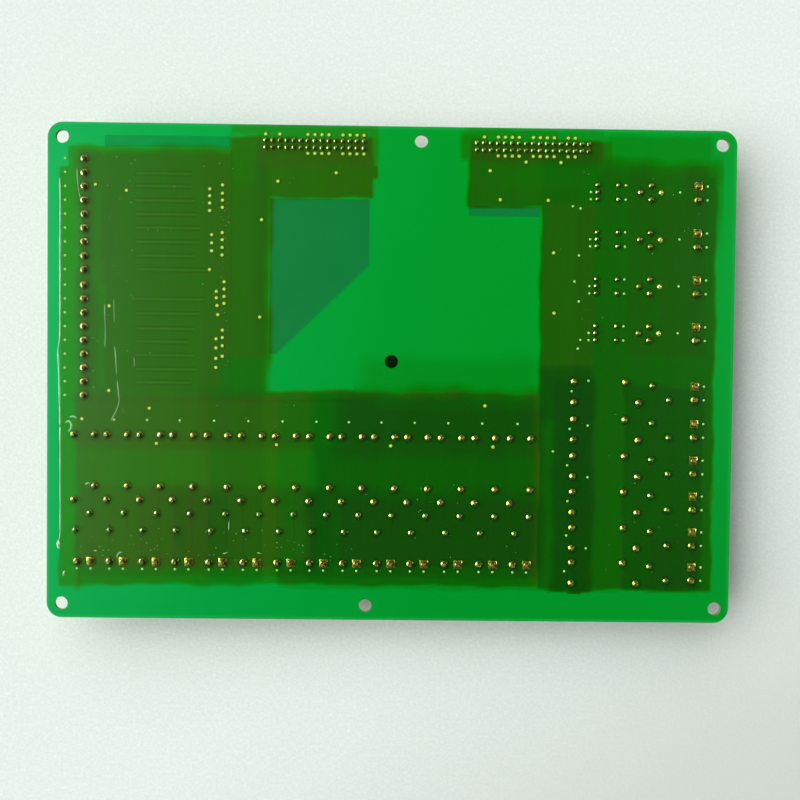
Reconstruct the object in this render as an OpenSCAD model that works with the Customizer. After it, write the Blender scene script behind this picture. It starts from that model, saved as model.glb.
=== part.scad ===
// Output board of an air conditioner: relays, triac switches, terminal blocks and ribbon headers.
// The board lies as it is stored, on its component side, with the solder side facing up.
// Board coordinates u and v run right and down from the corner at the left of the ribbon header edge.

/* [Board] */
// Length of the board
board_w = 250; // [245:1:300]
// Width of the board
board_d = 180; // [176:1:230]
// Thickness of the laminate
board_t = 1.6; // [1.2:0.1:2.4]
// Radius of the board's corners
corner_r = 5.5; // [2:0.5:8]
// Diameter of the fixing holes
fixing_hole_d = 4.8; // [3.2:0.1:5.2]
// Distance of the fixing holes' centres from the edges
fixing_hole_in = 5.2; // [4.6:0.1:6]
// Place of the fixing hole in the header edge, to the right of the middle
top_hole_shift = 10; // [5:0.5:12]
// Place of the fixing hole in the relay edge, to the left of the middle
low_hole_shift = 8.7; // [0:0.1:20]
// Distance of the middle fixing hole from the header edge
middle_hole_v = 85.2; // [70:0.1:92]

/* [Pins and solder] */
// Gap between a pin and the wall of its hole
hole_play = 0.15; // [0.05:0.05:0.25]
// Length of the pins above the solder side
pin_tip = 1.8; // [1.4:0.1:2.5]
// Height of the solder cones
solder_h = 1.1; // [0.6:0.1:1.3]
// Width of solder left round a pin
solder_lip = 0.1; // [0.05:0.05:0.2]

/* [Plated vias] */
// Diameter of the wide via pads
via_pad_d = 1.3; // [1:0.1:1.5]
// Diameter of the narrow via pads
small_via_pad_d = 0.9; // [0.8:0.05:1.1]
// Diameter of the drilled via holes
via_hole_d = 0.7; // [0.5:0.05:0.75]
// Diameter of the opening left in the plating
via_bore_d = 0.35; // [0.2:0.05:0.4]
// Thickness of the via pads
via_pad_t = 0.05; // [0.03:0.01:0.1]

/* [Coating] */
// Thickness of the brushed protective film
film_t = 0.12; // [0.05:0.01:0.3]
// Gap in the film round each joint and via
film_gap = 0.1; // [0:0.05:0.2]

/* [Ribbon headers] */
// Pin pitch
header_pitch = 2.54; // [2.5:0.01:2.6]
// Columns in the header with 30 pins
header_30_columns = 15; // [10:1:16]
// Columns in the header with 34 pins
header_34_columns = 17; // [10:1:17]
// First column of the header with 30 pins, from the left edge
header_30_u = 78.7; // [70:0.1:82]
// First column of the header with 34 pins, from the right edge
header_34_in = 94.65; // [90:0.05:97]
// First pin row, from the header edge
header_v = 5.55; // [5:0.05:7]
// Side of the square pins
header_pin = 0.64; // [0.5:0.02:0.8]
// Diameter of the solder joints
header_joint_d = 2; // [1.7:0.05:2.2]
// Length of the housing past the end pins
header_end = 6.2; // [5:0.1:7]
// Width of the housing
header_body_w = 8.9; // [8:0.1:9.5]
// Height of the housing
header_body_h = 9.1; // [8:0.1:11]
// Wall of the housing
header_wall = 1.2; // [0.8:0.1:1.5]
// Thickness of the housing's floor
header_floor = 2.4; // [1.5:0.1:3]
// Width of the key slot
header_key_w = 4.5; // [3:0.1:6]

/* [Terminal blocks] */
// Pitch of the ways
terminal_pitch = 5; // [4.8:0.05:5.05]
// Ways in each block
terminal_ways = 9; // [6:1:9]
// Pin line, from the left edge
terminal_u = 13.3; // [12:0.1:15]
// First way of the upper block, from the header edge
upper_block_v = 13.1; // [12.6:0.1:13.2]
// First way of the lower block, from the header edge
lower_block_v = 58.7; // [58.6:0.1:60]
// Height of the blocks
terminal_h = 15; // [14:0.1:18]
// Depth of the blocks
terminal_depth = 10; // [9.4:0.1:11]
// Width of the wire pockets
terminal_pocket_w = 3.7; // [3.4:0.05:4]
// Thickness of the floor under the pockets
terminal_floor = 1.6; // [1:0.1:2.2]
// Height of the wire pockets
terminal_pocket_h = 6.8; // [6.4:0.1:7.4]
// Width of the pins
terminal_pin_w = 1; // [0.8:0.05:1.1]
// Diameter of the clamp screws' shanks
clamp_screw_d = 2.5; // [2:0.1:2.6]
// Diameter of the clamp screws' heads
clamp_head_d = 3.8; // [3.2:0.1:4]
// Height of the clamp screws' heads
clamp_head_h = 1.8; // [1.2:0.1:2.2]
// Diameter of the solder joints
terminal_joint_d = 3; // [2.4:0.1:3.4]

/* [Relays] */
// Length of the relay cases
relay_l = 28.5; // [28:0.1:29]
// Width of the relay cases
relay_w = 10.1; // [9.2:0.1:11]
// Height of the relay cases
relay_h = 15; // [12.3:0.1:18]
// Distance between the two coil pins
coil_pitch = 7.5; // [7:0.05:8]
// Distance of the near contact pin from the coil pins
contact_near = 18.8; // [18:0.1:20]
// Distance of the far contact pin from the coil pins
contact_far = 23.8; // [22:0.1:25]
// Distance of the coil pins from the end of the case
coil_end = 2.35; // [1.8:0.05:2.8]
// Diameter of the pins
relay_pin_d = 0.9; // [0.7:0.05:1.1]
// Diameter of the solder joints
relay_joint_d = 2.8; // [2.2:0.1:3.2]
// Bevel round the relay cases
relay_bevel = 0.5; // [0.2:0.1:0.8]
// Percent of the spare board that lies between the terminal blocks and the relay row
row_gap_share = 35.6; // [20:0.1:60]
// Percent of the spare board that lies between the triac channels and the relay column
column_gap_share = 47.5; // [20:0.1:60]
// Coil pins of the relay column, from the right edge
column_in = 58.1; // [57:0.1:59]

/* [Varistors] */
// Diameter of the discs
disc_d = 9; // [7:0.1:9.4]
// Thickness of the discs
disc_t = 3.4; // [2.6:0.1:3.6]
// Distance of the discs' centres from the coil pins
disc_reach = 31.8; // [31.6:0.1:33]
// Sideways distance between the two leads
disc_lead_x = 5.2; // [4.8:0.1:5.6]
// Lengthways distance between the two leads
disc_lead_y = 6.2; // [5.8:0.1:6.6]
// Diameter of the leads
disc_lead_d = 0.8; // [0.6:0.05:0.9]
// Gap between the discs and the board
disc_lift = 1.5; // [0.8:0.1:3]
// Diameter of the solder joints
disc_joint_d = 2.4; // [2:0.1:2.8]

/* [Output connectors] */
// Distance between the two posts
wafer_pitch = 5; // [4.8:0.05:5.2]
// Distance of the connector row's posts from the relay row's coil pins
row_post_reach = 46.4; // [46:0.1:48]
// Distance of the connector column's posts from the relay column's coil pins
column_post_reach = 44.2; // [43:0.1:46]
// Side of the square posts
post_w = 1.1; // [0.8:0.05:1.2]
// Height of the posts
post_h = 12; // [10:0.5:14]
// Length of the housings
wafer_l = 9.9; // [9:0.1:10.6]
// Depth of the housings
wafer_d = 7.6; // [6.6:0.1:8.6]
// Thickness of the housings' base
wafer_base_h = 3.2; // [2.4:0.1:4]
// Height of the housings' friction wall
wafer_wall_h = 9.4; // [8:0.1:10]
// Thickness of the friction wall
wafer_wall_t = 1.2; // [0.8:0.1:1.6]
// Diameter of the solder joints
wafer_joint_d = 2.9; // [2.4:0.1:3]

/* [Triac channels] */
// Pitch of the four channels
channel_pitch = 17.05; // [16.6:0.05:17.2]
// First pins of the first channel, from the header edge
channel_v = 20.2; // [19:0.1:21]
// Opto-triacs, from the right edge
opto_in = 46.8; // [46:0.1:48]
// Distance between the two rows of opto-triac legs
opto_span = 7.62; // [7.4:0.02:7.8]
// Leg pitch of the opto-triacs
opto_pitch = 2.54; // [2.5:0.01:2.6]
// Length of the opto-triac bodies
opto_l = 8.9; // [8:0.1:9.4]
// Width of the opto-triac bodies
opto_w = 6.3; // [6:0.1:6.5]
// Height of the opto-triac bodies
opto_h = 3.4; // [3:0.1:4]
// Gap between the opto-triacs and the board
opto_lift = 0.5; // [0.3:0.1:1]
// Width of the opto-triac legs
opto_leg_w = 0.5; // [0.4:0.05:0.6]
// Thickness of the opto-triac legs
opto_leg_t = 0.3; // [0.2:0.05:0.35]
// Diameter of the opto-triac joints
opto_joint_d = 1.8; // [1.5:0.05:2]
// Triacs, from the right edge
triac_in = 31; // [30:0.1:31.5]
// Leg pitch of the triacs
triac_pitch = 2.53; // [2.4:0.01:2.6]
// Reach of the triacs' middle legs
triac_kink = 3.9; // [3:0.1:4.2]
// Distance of the spare pads past the triacs
spare_pad_reach = 3.5; // [3.2:0.1:4]
// Width of the triac bodies
triac_w = 7.8; // [7.4:0.1:8.4]
// Thickness of the triac bodies
triac_t = 2.7; // [2.4:0.1:3.2]
// Height of the triac bodies
triac_h = 10.8; // [10:0.1:11.2]
// Gap between the triacs and the board
triac_lift = 3; // [2.4:0.1:3.6]
// Side of the triacs' square legs
triac_leg = 0.7; // [0.5:0.05:0.8]
// Diameter of the triac joints
triac_joint_d = 2.2; // [1.9:0.05:2.5]

/* [Chips] */
// Length of the flat chips' bodies
chip_l = 10.3; // [9:0.1:11]
// Width of the flat chips' bodies
chip_w = 7.5; // [6:0.1:8]
// Height of the flat chips
chip_h = 2.4; // [1.8:0.1:3]
// Leg pitch of the flat chips
chip_pitch = 1.27; // [1.2:0.01:1.3]
// Legs on each side of a flat chip
chip_legs_a_side = 8; // [4:1:8]
// Length of the small resistors, capacitors and lamps
small_chip_l = 3.2; // [2.6:0.1:3.6]
// Width of the small resistors, capacitors and lamps
small_chip_w = 1.6; // [1.2:0.1:1.8]
// Height of the small resistors
small_chip_h = 0.6; // [0.4:0.05:1]

/* [Hidden] */
$fn = 32;

// Places of the 14 relays, discs and connectors along a board of the usual length. They close up or
// spread out with the board.
usual_w = 250;
row_relay_u = along([13.5, 25.5, 37.5, 49.4, 61.9, 74.4, 86.8, 99.2, 111, 122.9, 135, 147.3, 159.7, 172.6]);
row_disc_u = along([13, 25.4, 37.4, 49.5, 62.4, 74.8, 87.2, 99.1, 111, 123.1, 135.5, 148.1, 160.8, 173.4]);
row_post_u = along([13.5, 25.3, 37.3, 49.2, 61.6, 74.1, 86.5, 98.4, 110.5, 123, 135.2, 147.7, 160.4, 172.8]);
// Steps down the relay column from its first relay.
column_steps = [0, 13.7, 27.1, 40.3, 53.5, 66.4];

function right(d) = board_w - d;
function low(d) = board_d - d;
function along(places) = [for (u = places) u * board_w / usual_w];
function turned(p, a) = [p.x * cos(a) - p.y * sin(a), p.x * sin(a) + p.y * cos(a)];
function spread(places, offsets) = [
    for (p = places, q = offsets) [p.x, p.y] + turned(q, len(p) > 2 ? p[2] : 0)
];

// The tallest parts stand on z = 0, and the board lies on them.
tall = max([
    relay_h, terminal_h, header_body_h, post_h, triac_lift + triac_h,
    disc_lift + disc_d, opto_lift + opto_h, chip_h
]);
board_z = tall;
top_z = board_z + board_t;
solder_foot = solder_h * 0.1;

// Fixing holes.
corner_holes = [
    for (u = [fixing_hole_in, right(fixing_hole_in)], v = [fixing_hole_in, low(fixing_hole_in)]) [u, v]
];
edge_holes = [
    [board_w / 2 + top_hole_shift, fixing_hole_in],
    [board_w / 2 - low_hole_shift, low(fixing_hole_in)],
    [board_w / 2, middle_hole_v]
];

// Ribbon header pins.
header_34_u = right(header_34_in);
header_rows = [header_v, header_v + header_pitch];
header_30_spots = [
    for (v = header_rows, k = [0 : header_30_columns - 1]) [header_30_u + k * header_pitch, v]
];
header_34_spots = [
    for (v = header_rows, k = [0 : header_34_columns - 1]) [header_34_u + k * header_pitch, v]
];
header_pin_r = header_pin / sqrt(2);
header_pin_short = 1.2;
header_bevel = 0.3;

// Terminal pins, and the wire cages and clamp screws over them.
block_starts = [upper_block_v, lower_block_v];
terminal_spots = [for (v = block_starts, k = [0 : terminal_ways - 1]) [terminal_u, v + k * terminal_pitch]];
terminal_pin_r = terminal_pin_w / sqrt(2);
terminal_front = terminal_depth * 0.56;
terminal_step = terminal_depth * 0.15;
cage_wall = 0.5;
cage_play = 0.1;
cage_w = terminal_pocket_w - 2 * cage_play;
cage_h = terminal_pocket_h - 2 * cage_play;
clamp_web = 0.8;
clamp_seat = terminal_floor + terminal_pocket_h + clamp_web;
clamp_slot_w = 0.7;
thread_play = 0.02;

// The relay row lies below the terminal blocks and the relay column below the triac channels.
blocks_end = lower_block_v + (terminal_ways - 0.5) * terminal_pitch;
row_depth = coil_end + row_post_reach + wafer_d / 2;
row_gap = (board_d - blocks_end - row_depth) * row_gap_share / 100;
row_v = blocks_end + row_gap + coil_end;
channels = [for (k = [0 : 3]) channel_v + k * channel_pitch];
channels_end = channels[3] + opto_pitch + wafer_l / 2;
column_run = column_steps[5] + relay_w;
column_gap = (board_d - channels_end - column_run) * column_gap_share / 100;
column_start = channels_end + column_gap + relay_w / 2;
column_u = right(column_in);
column_v = [for (d = column_steps) column_start + d];

// Relays, each with a varistor across its contacts and a two-post connector.
relay_spots = [
    for (u = row_relay_u) [u, row_v, 0],
    for (v = column_v) [column_u, v, -90]
];
relay_pins_at = [
    [-coil_pitch / 2, 0], [coil_pitch / 2, 0],
    [coil_pitch / 2, contact_near], [-coil_pitch / 2, contact_far]
];
relay_pin_spots = spread(relay_spots, relay_pins_at);
disc_spots = [
    for (u = row_disc_u) [u, row_v + disc_reach, 0],
    for (v = column_v) [column_u + disc_reach, v, -90]
];
disc_leads_at = [[disc_lead_x / 2, -disc_lead_y / 2], [-disc_lead_x / 2, disc_lead_y / 2]];
disc_lead_spots = spread(disc_spots, disc_leads_at);

// Triac channels.
opto_spots = [for (v = channels) [right(opto_in), v + opto_pitch]];
opto_legs_at = [
    for (y = [-1, 0, 1]) [-opto_span / 2, y * opto_pitch],
    for (y = [-1, 1]) [opto_span / 2, y * opto_pitch]
];
opto_leg_spots = spread(opto_spots, opto_legs_at);
opto_leg_r = norm([opto_leg_w, opto_leg_t]) / 2;
body_bevel = 0.3;
notch_d = 1.4;
notch_t = 0.4;
triac_spots = [for (v = channels) [right(triac_in), v + opto_pitch]];
triac_legs_at = [[0, -triac_pitch], [-triac_kink, 0], [0, triac_pitch]];
triac_leg_spots = spread(triac_spots, triac_legs_at);
triac_leg_r = triac_leg / sqrt(2);
triac_plate_t = 0.5;
triac_plate_w = triac_w - 2;
triac_eye_d = 3.2;
spare_pad_spots = spread(triac_spots, [[spare_pad_reach, 0]]);
spare_hole_r = 0.6;

// Output connectors: first the relay row, then the relay column, then the triac channels.
wafer_row_spots = [for (u = row_post_u) [u, row_v + row_post_reach, 0]];
wafer_column_spots = [for (v = column_v) [column_u + column_post_reach, v, -90]];
wafer_triac_spots = [for (v = channels) [column_u + column_post_reach, v + opto_pitch, -90]];
wafer_spots = concat(wafer_row_spots, wafer_column_spots, wafer_triac_spots);
posts_at = [[-wafer_pitch / 2, 0], [wafer_pitch / 2, 0]];
round_post_spots = spread(wafer_spots, [posts_at[0]]);
square_post_spots = spread(wafer_spots, [posts_at[1]]);
row_post_spots = spread(wafer_row_spots, posts_at);
column_post_spots = spread(concat(wafer_column_spots, wafer_triac_spots), posts_at);
post_spots = concat(row_post_spots, column_post_spots);
post_r = post_w / sqrt(2);
wafer_lock_h = 1.6;
wafer_lock_t = 0.9;

// Vias with wide pads: beside the ribbon headers, under the input chips and scattered.
header_via_gap = 2.1;
header_via_v = [header_v - header_via_gap, header_rows[1] + header_via_gap];
header_vias = concat(
    [for (k = [0, 2, 6, 7, 8, 9, 11, 12, 13, 14]) [header_30_u + k * header_pitch, header_via_v[0]]],
    [for (k = [6, 7, 8, 9, 11, 12, 13, 14]) [header_30_u + k * header_pitch, header_via_v[1]]],
    [for (k = [1, 3, 4, 5, 6, 8, 9, 10, 11, 13, 14]) [header_34_u + k * header_pitch, header_via_v[0]]],
    [for (k = [3, 4, 5, 6, 8, 9, 10, 11, 13, 14]) [header_34_u + k * header_pitch, header_via_v[1]]],
    [for (k = [7, 12]) [header_34_u + k * header_pitch, header_via_v[1] + header_via_gap]]
);
input_vias = concat(
    [for (v = [23.5, 26, 28.6, 31.3]) [58.6, v]],
    [for (v = [22, 25, 27.5, 30.1]) [63.2, v]],
    [for (v = [40, 43, 45.8]) [59.4, v]],
    [for (v = [39.2, 41.8, 44.6, 47.3]) [63.2, v]],
    [for (v = [57, 59.6, 62.3, 64.8]) [64, v]],
    [[58.7, 52.6], [61.2, 60.5], [61.2, 62.8], [61.5, 65.6], [61.8, 68.9]],
    [for (v = [74.5, 77.2, 80.2, 84]) [63.5, v]],
    [for (v = [77.7, 81, 84.8, 88.1]) [61.2, v]]
);
scattered_vias = concat(
    [[17.3, 22.4], [28.5, 24.4], [22.4, 66.2], [22.4, 96.9], [83.2, 20.4], [104.3, 17.1], [77.4, 34.4]],
    [[77, 69.6], [12.7, row_v - 5.6], [37.1, row_v - 9.7], [right(90.6), row_v - 11.9]],
    [for (p = [[89.9, 15.6], [86.1, 26], [68.6, 26], [66.4, 45], [65.9, 66.9]]) [right(p.x), p.y]],
    [for (u = along([39.8, 83.5, 125.1, 162.5])) [u, row_v + 3.1]]
);
wide_vias = concat(header_vias, input_vias, scattered_vias);

// Vias with narrow pads: beside each terminal, coil, connector and triac, and scattered.
terminal_via_u = 6.4;
row_post_via_gap = 2.7;
column_post_via_gap = 3.4;
upper_right_vias = [[59.6, 28], [56.8, 28.8], [57.1, 45.8], [58.6, 55.3], [56.9, 62.5], [56.1, 76.5]];
column_vias = [
    [1.1, -15.9], [5.2, -4.2], [5.2, 12.2], [5.4, 31.1], [5.2, 57.3], [-7.4, 21.8],
    [-0.9, -0.3], [-1.4, 13.5], [-2.1, 26.8], [-1.8, 40], [-2.1, 52.6], [-2.6, 65.8]
];
narrow_vias = concat(
    [for (p = terminal_spots) [terminal_via_u, p.y]],
    [for (k = [1 : len(row_relay_u) - 1]) [row_relay_u[k] - 1.2, row_v - 5.4]],
    [for (p = row_post_spots) [p.x, p.y + row_post_via_gap]],
    [for (p = column_post_spots) [p.x + column_post_via_gap, p.y]],
    spread([for (v = channels) [0, v]], [
        [right(53.1), 2.6], [right(53.1), 5.2], [right(40.4), 0], [right(40.4), 5.2], [right(20.5), 2.3]
    ]),
    [for (p = upper_right_vias) [right(p.x), p.y]],
    [for (p = column_vias) [column_u + p.x, column_start + p.y]]
);

// Flat chips: five input couplers behind the terminals and three relay drivers beside the relay row.
coupler_spots = [for (v = [26, 43, 61, 79, 94]) [50, v, 0]];
driver_spots = [for (u = along([74, 110, 160])) [u, row_v - 14, -90]];
flat_chip_lift = 0.15;
chip_leg_w = chip_pitch / 3;
chip_leg_t = 0.25;
chip_foot = 1.2;
chip_shoulder = 0.4;
chip_mark_d = 1.1;
chip_mark_in = 1.2;
chip_mark_t = 0.15;

// Small chips: two resistors and a capacitor for each terminal, a resistor and a lamp for each output.
beside_coil = 3;
row_chip_v = blocks_end + row_gap / 2;
column_chip_u = column_u - coil_end - small_chip_w;
channel_chip_u = right(61);
resistor_spots = concat(
    [for (p = terminal_spots) [24, p.y, 0]],
    [for (p = terminal_spots) [32, p.y, 0]],
    [for (u = row_relay_u) [u + beside_coil, row_chip_v, 0]],
    [for (v = column_v) [column_chip_u, v + beside_coil, -90]],
    [for (v = channels) [channel_chip_u, v + opto_pitch, 0]]
);
capacitor_spots = concat(
    [for (p = terminal_spots) [39, p.y, 0]],
    [for (p = concat(coupler_spots, driver_spots)) [p.x + chip_l / 2 + 4, p.y, -90]]
);
lamp_spots = concat(
    [for (u = row_relay_u) [u - beside_coil, row_chip_v, 0]],
    [for (v = column_v) [column_chip_u, v - beside_coil, -90]],
    [for (v = channels) [channel_chip_u, v - opto_pitch, 0]]
);
cap_l = 0.4;

// Outline of the brushed film, clockwise from the left of the header edge.
// The bare window in the middle runs from beside the 30 pin header to beside the relay column.
film_a = header_30_u + header_30_columns * header_pitch;
film_b = header_34_u;
window_right = column_u - 13.5;
window_low = row_v - 17.5;
film_outline = concat(
    [[5.2, 11], [9, 8.9], [66, 8.7], [66, 0.5], [film_a + 2, 0.5], [film_a + 2.2, 13], [film_a + 2.9, 17]],
    [[film_a + 1, 21], [film_a + 0.7, 25.4], [film_a - 0.4, 26.4], [80.6, 26.4], [80.5, window_low]],
    [[81.5, window_low + 1], [window_right - 1, window_low + 1.2], [window_right, window_low]],
    [[window_right, 29.4], [window_right - 0.8, 28.6], [film_b - 3, 28.4], [film_b - 4.6, 26.6]],
    [[film_b - 5, 12], [film_b - 6.8, 9], [film_b - 6.6, 5], [film_b - 5, 2.4], [film_b - 4.8, 0.5]],
    [[right(50), 0.8], [right(12), 1.4], [right(8.6), 8], [right(7.4), 20], [right(7.4), low(16)]],
    [[right(8.6), low(12.4)], [right(55), low(12.4)], [right(61), low(13)], [90, low(13)]],
    [[62, low(12.2)], [7.6, low(12)], [5, low(25)], [4.9, 96], [3.8, 84], [4.8, 68]]
);

// A flat shape at a place on the board.
module flat(p) {
    translate([p.x - board_w / 2, board_d / 2 - p.y]) children();
}

// A frame on the solder side: z runs up from the board.
module over(p) {
    translate([p.x - board_w / 2, board_d / 2 - p.y, top_z]) children();
}

// A frame on the component side: x and y run as u and v, and z runs down from the board.
module under(p) {
    translate([p.x - board_w / 2, board_d / 2 - p.y, board_z])
        rotate([180, 0, 0])
            rotate([0, 0, len(p) > 2 ? p[2] : 0])
                children();
}

// A block centred on x and y that stands on z = 0.
module block(size) {
    translate([-size.x / 2, -size.y / 2, 0]) cube(size);
}

// A rectangle with round corners.
module rounded(w, d, r) {
    square([w - 2 * r, d], center = true);
    square([w, d - 2 * r], center = true);
    for (x = [-1, 1], y = [-1, 1]) {
        translate([x * (w / 2 - r), y * (d / 2 - r)]) circle(r = r);
    }
}

// A block with its upper edges bevelled.
module bevelled(size, bevel) {
    intersection() {
        rotate([90, 0, 0])
            translate([0, 0, -size.y / 2])
                linear_extrude(size.y) bevelled_side(size.x, size.z, bevel);
        rotate([90, 0, 90])
            translate([0, 0, -size.x / 2])
                linear_extrude(size.x) bevelled_side(size.y, size.z, bevel);
    }
}

module bevelled_side(w, h, bevel) {
    polygon([
        [-w / 2, 0], [w / 2, 0], [w / 2, h - bevel], [w / 2 - bevel, h],
        [bevel - w / 2, h], [-w / 2, h - bevel]
    ]);
}

// Holes in the laminate, or in the film, for one kind of joint.
module holes(spots, r) {
    for (p = spots) flat(p) circle(r = r);
}

// A solder cone that climbs a pin of radius inner.
module solder_cone(inner, outer) {
    lip = min(solder_lip, (outer - inner) / 3);
    rotate_extrude()
        polygon([
            [inner, 0], [outer, 0], [outer, solder_foot], [(inner + outer * 3) / 4, solder_h * 0.45],
            [(inner + outer) / 2, solder_h * 0.75], [inner + lip, solder_h], [inner, solder_h]
        ]);
}

// The pins' square or round tails, which run from the board's underside to their tips.
module square_tails(spots, w, d) {
    for (p = spots) over(p) translate([0, 0, -board_t]) block([w, d, board_t + pin_tip]);
}

module round_tails(spots, r) {
    for (p = spots) over(p) translate([0, 0, -board_t]) cylinder(r = r, h = board_t + pin_tip);
}

module board() {
    color([0.04, 0.6, 0.22])
        translate([0, 0, board_z])
            linear_extrude(board_t)
                difference() {
                    rounded(board_w, board_d, corner_r);
                    holes(concat(corner_holes, edge_holes), fixing_hole_d / 2);
                    holes(concat(header_30_spots, header_34_spots), header_pin_r + hole_play);
                    holes(terminal_spots, terminal_pin_r + hole_play);
                    holes(relay_pin_spots, relay_pin_d / 2 + hole_play);
                    holes(disc_lead_spots, disc_lead_d / 2 + hole_play);
                    holes(post_spots, post_r + hole_play);
                    holes(opto_leg_spots, opto_leg_r + hole_play);
                    holes(triac_leg_spots, triac_leg_r + hole_play);
                    holes(spare_pad_spots, spare_hole_r);
                    holes(concat(wide_vias, narrow_vias), via_hole_d / 2);
                }
}

// Brushed film that leaves the joints, the vias and the middle of the board bare.
module coating() {
    color([0.2, 0.3, 0.08])
        translate([0, 0, top_z])
            linear_extrude(film_t)
                difference() {
                    polygon([for (p = film_outline) [p.x - board_w / 2, board_d / 2 - p.y]]);
                    holes(concat(header_30_spots, header_34_spots), header_joint_d / 2 + film_gap);
                    holes(terminal_spots, terminal_joint_d / 2 + film_gap);
                    holes(relay_pin_spots, relay_joint_d / 2 + film_gap);
                    holes(disc_lead_spots, disc_joint_d / 2 + film_gap);
                    holes(round_post_spots, wafer_joint_d / 2 + film_gap);
                    for (p = square_post_spots) {
                        flat(p) square(wafer_joint_d + 2 * film_gap, center = true);
                    }
                    holes(opto_leg_spots, opto_joint_d / 2 + film_gap);
                    holes(concat(triac_leg_spots, spare_pad_spots), triac_joint_d / 2 + film_gap);
                    holes(wide_vias, via_pad_d / 2 + film_gap);
                    holes(narrow_vias, small_via_pad_d / 2 + film_gap);
                }
}

// A plated barrel with a pad on the solder side. It ends flush with the component side.
module via(pad_r) {
    rotate_extrude()
        polygon([
            [via_bore_d / 2, -board_t], [via_hole_d / 2, -board_t], [via_hole_d / 2, 0],
            [pad_r, 0], [pad_r, via_pad_t], [via_bore_d / 2, via_pad_t]
        ]);
}

module via_plating() {
    color([0.85, 0.75, 0.3]) {
        for (p = wide_vias) over(p) via(via_pad_d / 2);
        for (p = narrow_vias) over(p) via(small_via_pad_d / 2);
    }
}

// Box header with a keyed shroud round two rows of pins.
module header_housing(first_u, columns) {
    run = (columns - 1) * header_pitch;
    length = run + 2 * header_end;
    color([0.12, 0.12, 0.13])
        under([first_u + run / 2, header_v + header_pitch / 2])
            difference() {
                bevelled([length, header_body_w, header_body_h], header_bevel);
                translate([0, 0, header_floor])
                    block([length - 2 * header_wall, header_body_w - 2 * header_wall, header_body_h]);
                translate([0, header_body_w / 2, header_floor])
                    block([header_key_w, 3 * header_wall, header_body_h]);
                for (x = [0 : columns - 1], y = [-0.5, 0.5]) {
                    translate([x * header_pitch - run / 2, y * header_pitch, -1])
                        block([header_pin, header_pin, header_floor + 2]);
                }
            }
}

module header_pins(spots) {
    reach = header_body_h - header_pin_short;
    color([0.85, 0.72, 0.35]) {
        for (p = spots) {
            over(p)
                translate([0, 0, -board_t - reach])
                    block([header_pin, header_pin, reach + board_t + pin_tip]);
        }
    }
}

// Screw terminal block: wires enter from the board's edge and the screws face away from the board.
module terminal_block(first_v) {
    length = terminal_ways * terminal_pitch;
    back = terminal_depth - terminal_front;
    color([0.1, 0.42, 0.22])
        under([terminal_u, first_v + (terminal_ways - 1) * terminal_pitch / 2])
            difference() {
                rotate([90, 0, 0])
                    translate([0, 0, -length / 2])
                        linear_extrude(length)
                            polygon([
                                [-terminal_front, 0], [back, 0], [back, terminal_h - terminal_step],
                                [back - terminal_step, terminal_h],
                                [terminal_step - terminal_front, terminal_h],
                                [terminal_step / 2 - terminal_front, clamp_seat],
                                [-terminal_front, clamp_seat - terminal_step]
                            ]);
                for (k = [0 : terminal_ways - 1]) {
                    translate([0, (k - (terminal_ways - 1) / 2) * terminal_pitch, 0]) terminal_way();
                }
            }
}

// What is cut out of the block at each way: the wire pocket, the screw well and the pin slot.
module terminal_way() {
    translate([-terminal_front - 1, -terminal_pocket_w / 2, terminal_floor])
        cube([terminal_front + 1 + cage_w / 2 + cage_play, terminal_pocket_w, terminal_pocket_h]);
    translate([0, 0, clamp_seat]) cylinder(d = clamp_head_d + 2 * cage_play, h = terminal_h);
    translate([0, 0, terminal_floor]) cylinder(d = clamp_screw_d + 2 * cage_play, h = terminal_h);
    translate([0, 0, -1]) block([terminal_pin_w, terminal_pin_w, terminal_floor + 2]);
}

// Wire cages, each a square tube that the clamp screw draws together.
module terminal_cages() {
    color([0.72, 0.72, 0.7]) {
        for (p = terminal_spots) {
            under(p)
                translate([0, 0, terminal_floor + cage_play])
                    difference() {
                        block([cage_w, cage_w, cage_h]);
                        translate([0, 0, cage_wall])
                            block([cage_w + 2, cage_w - 2 * cage_wall, cage_h - 3 * cage_wall]);
                        translate([0, 0, cage_h / 2])
                            cylinder(d = clamp_screw_d + 2 * thread_play, h = cage_h);
                    }
        }
    }
}

module terminal_screws() {
    shank = clamp_seat - terminal_floor - terminal_pocket_h / 2;
    color([0.8, 0.8, 0.78]) {
        for (p = terminal_spots) {
            under(p)
                translate([0, 0, clamp_seat])
                    difference() {
                        union() {
                            cylinder(d = clamp_head_d, h = clamp_head_h);
                            translate([0, 0, -shank]) cylinder(d = clamp_screw_d, h = shank + 0.1);
                        }
                        translate([0, 0, clamp_head_h / 2])
                            block([clamp_head_d + 1, clamp_slot_w, clamp_head_h]);
                    }
        }
    }
}

module terminal_pins() {
    reach = terminal_floor + cage_play;
    color([0.78, 0.75, 0.6]) {
        for (p = terminal_spots) {
            over(p)
                translate([0, 0, -board_t - reach])
                    block([terminal_pin_w, terminal_pin_w, reach + board_t + pin_tip]);
        }
    }
}

// Sealed relay: a moulded case with a shallow panel and a vent dimple on its face.
module relay(p) {
    panel = [relay_w * 0.7, relay_l * 0.8, 1];
    panel_t = 0.2;
    vent_d = 0.7;
    color([0.1, 0.1, 0.11])
        under(p)
            translate([0, relay_l / 2 - coil_end, 0])
                difference() {
                    bevelled([relay_w, relay_l, relay_h], relay_bevel);
                    translate([0, 0, relay_h - panel_t]) block(panel);
                    translate([0, (relay_l + panel.y) / 4, relay_h - panel_t]) cylinder(d = vent_d, h = 1);
                }
}

module relay_pins() {
    color([0.78, 0.75, 0.6]) round_tails(relay_pin_spots, relay_pin_d / 2);
}

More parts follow.
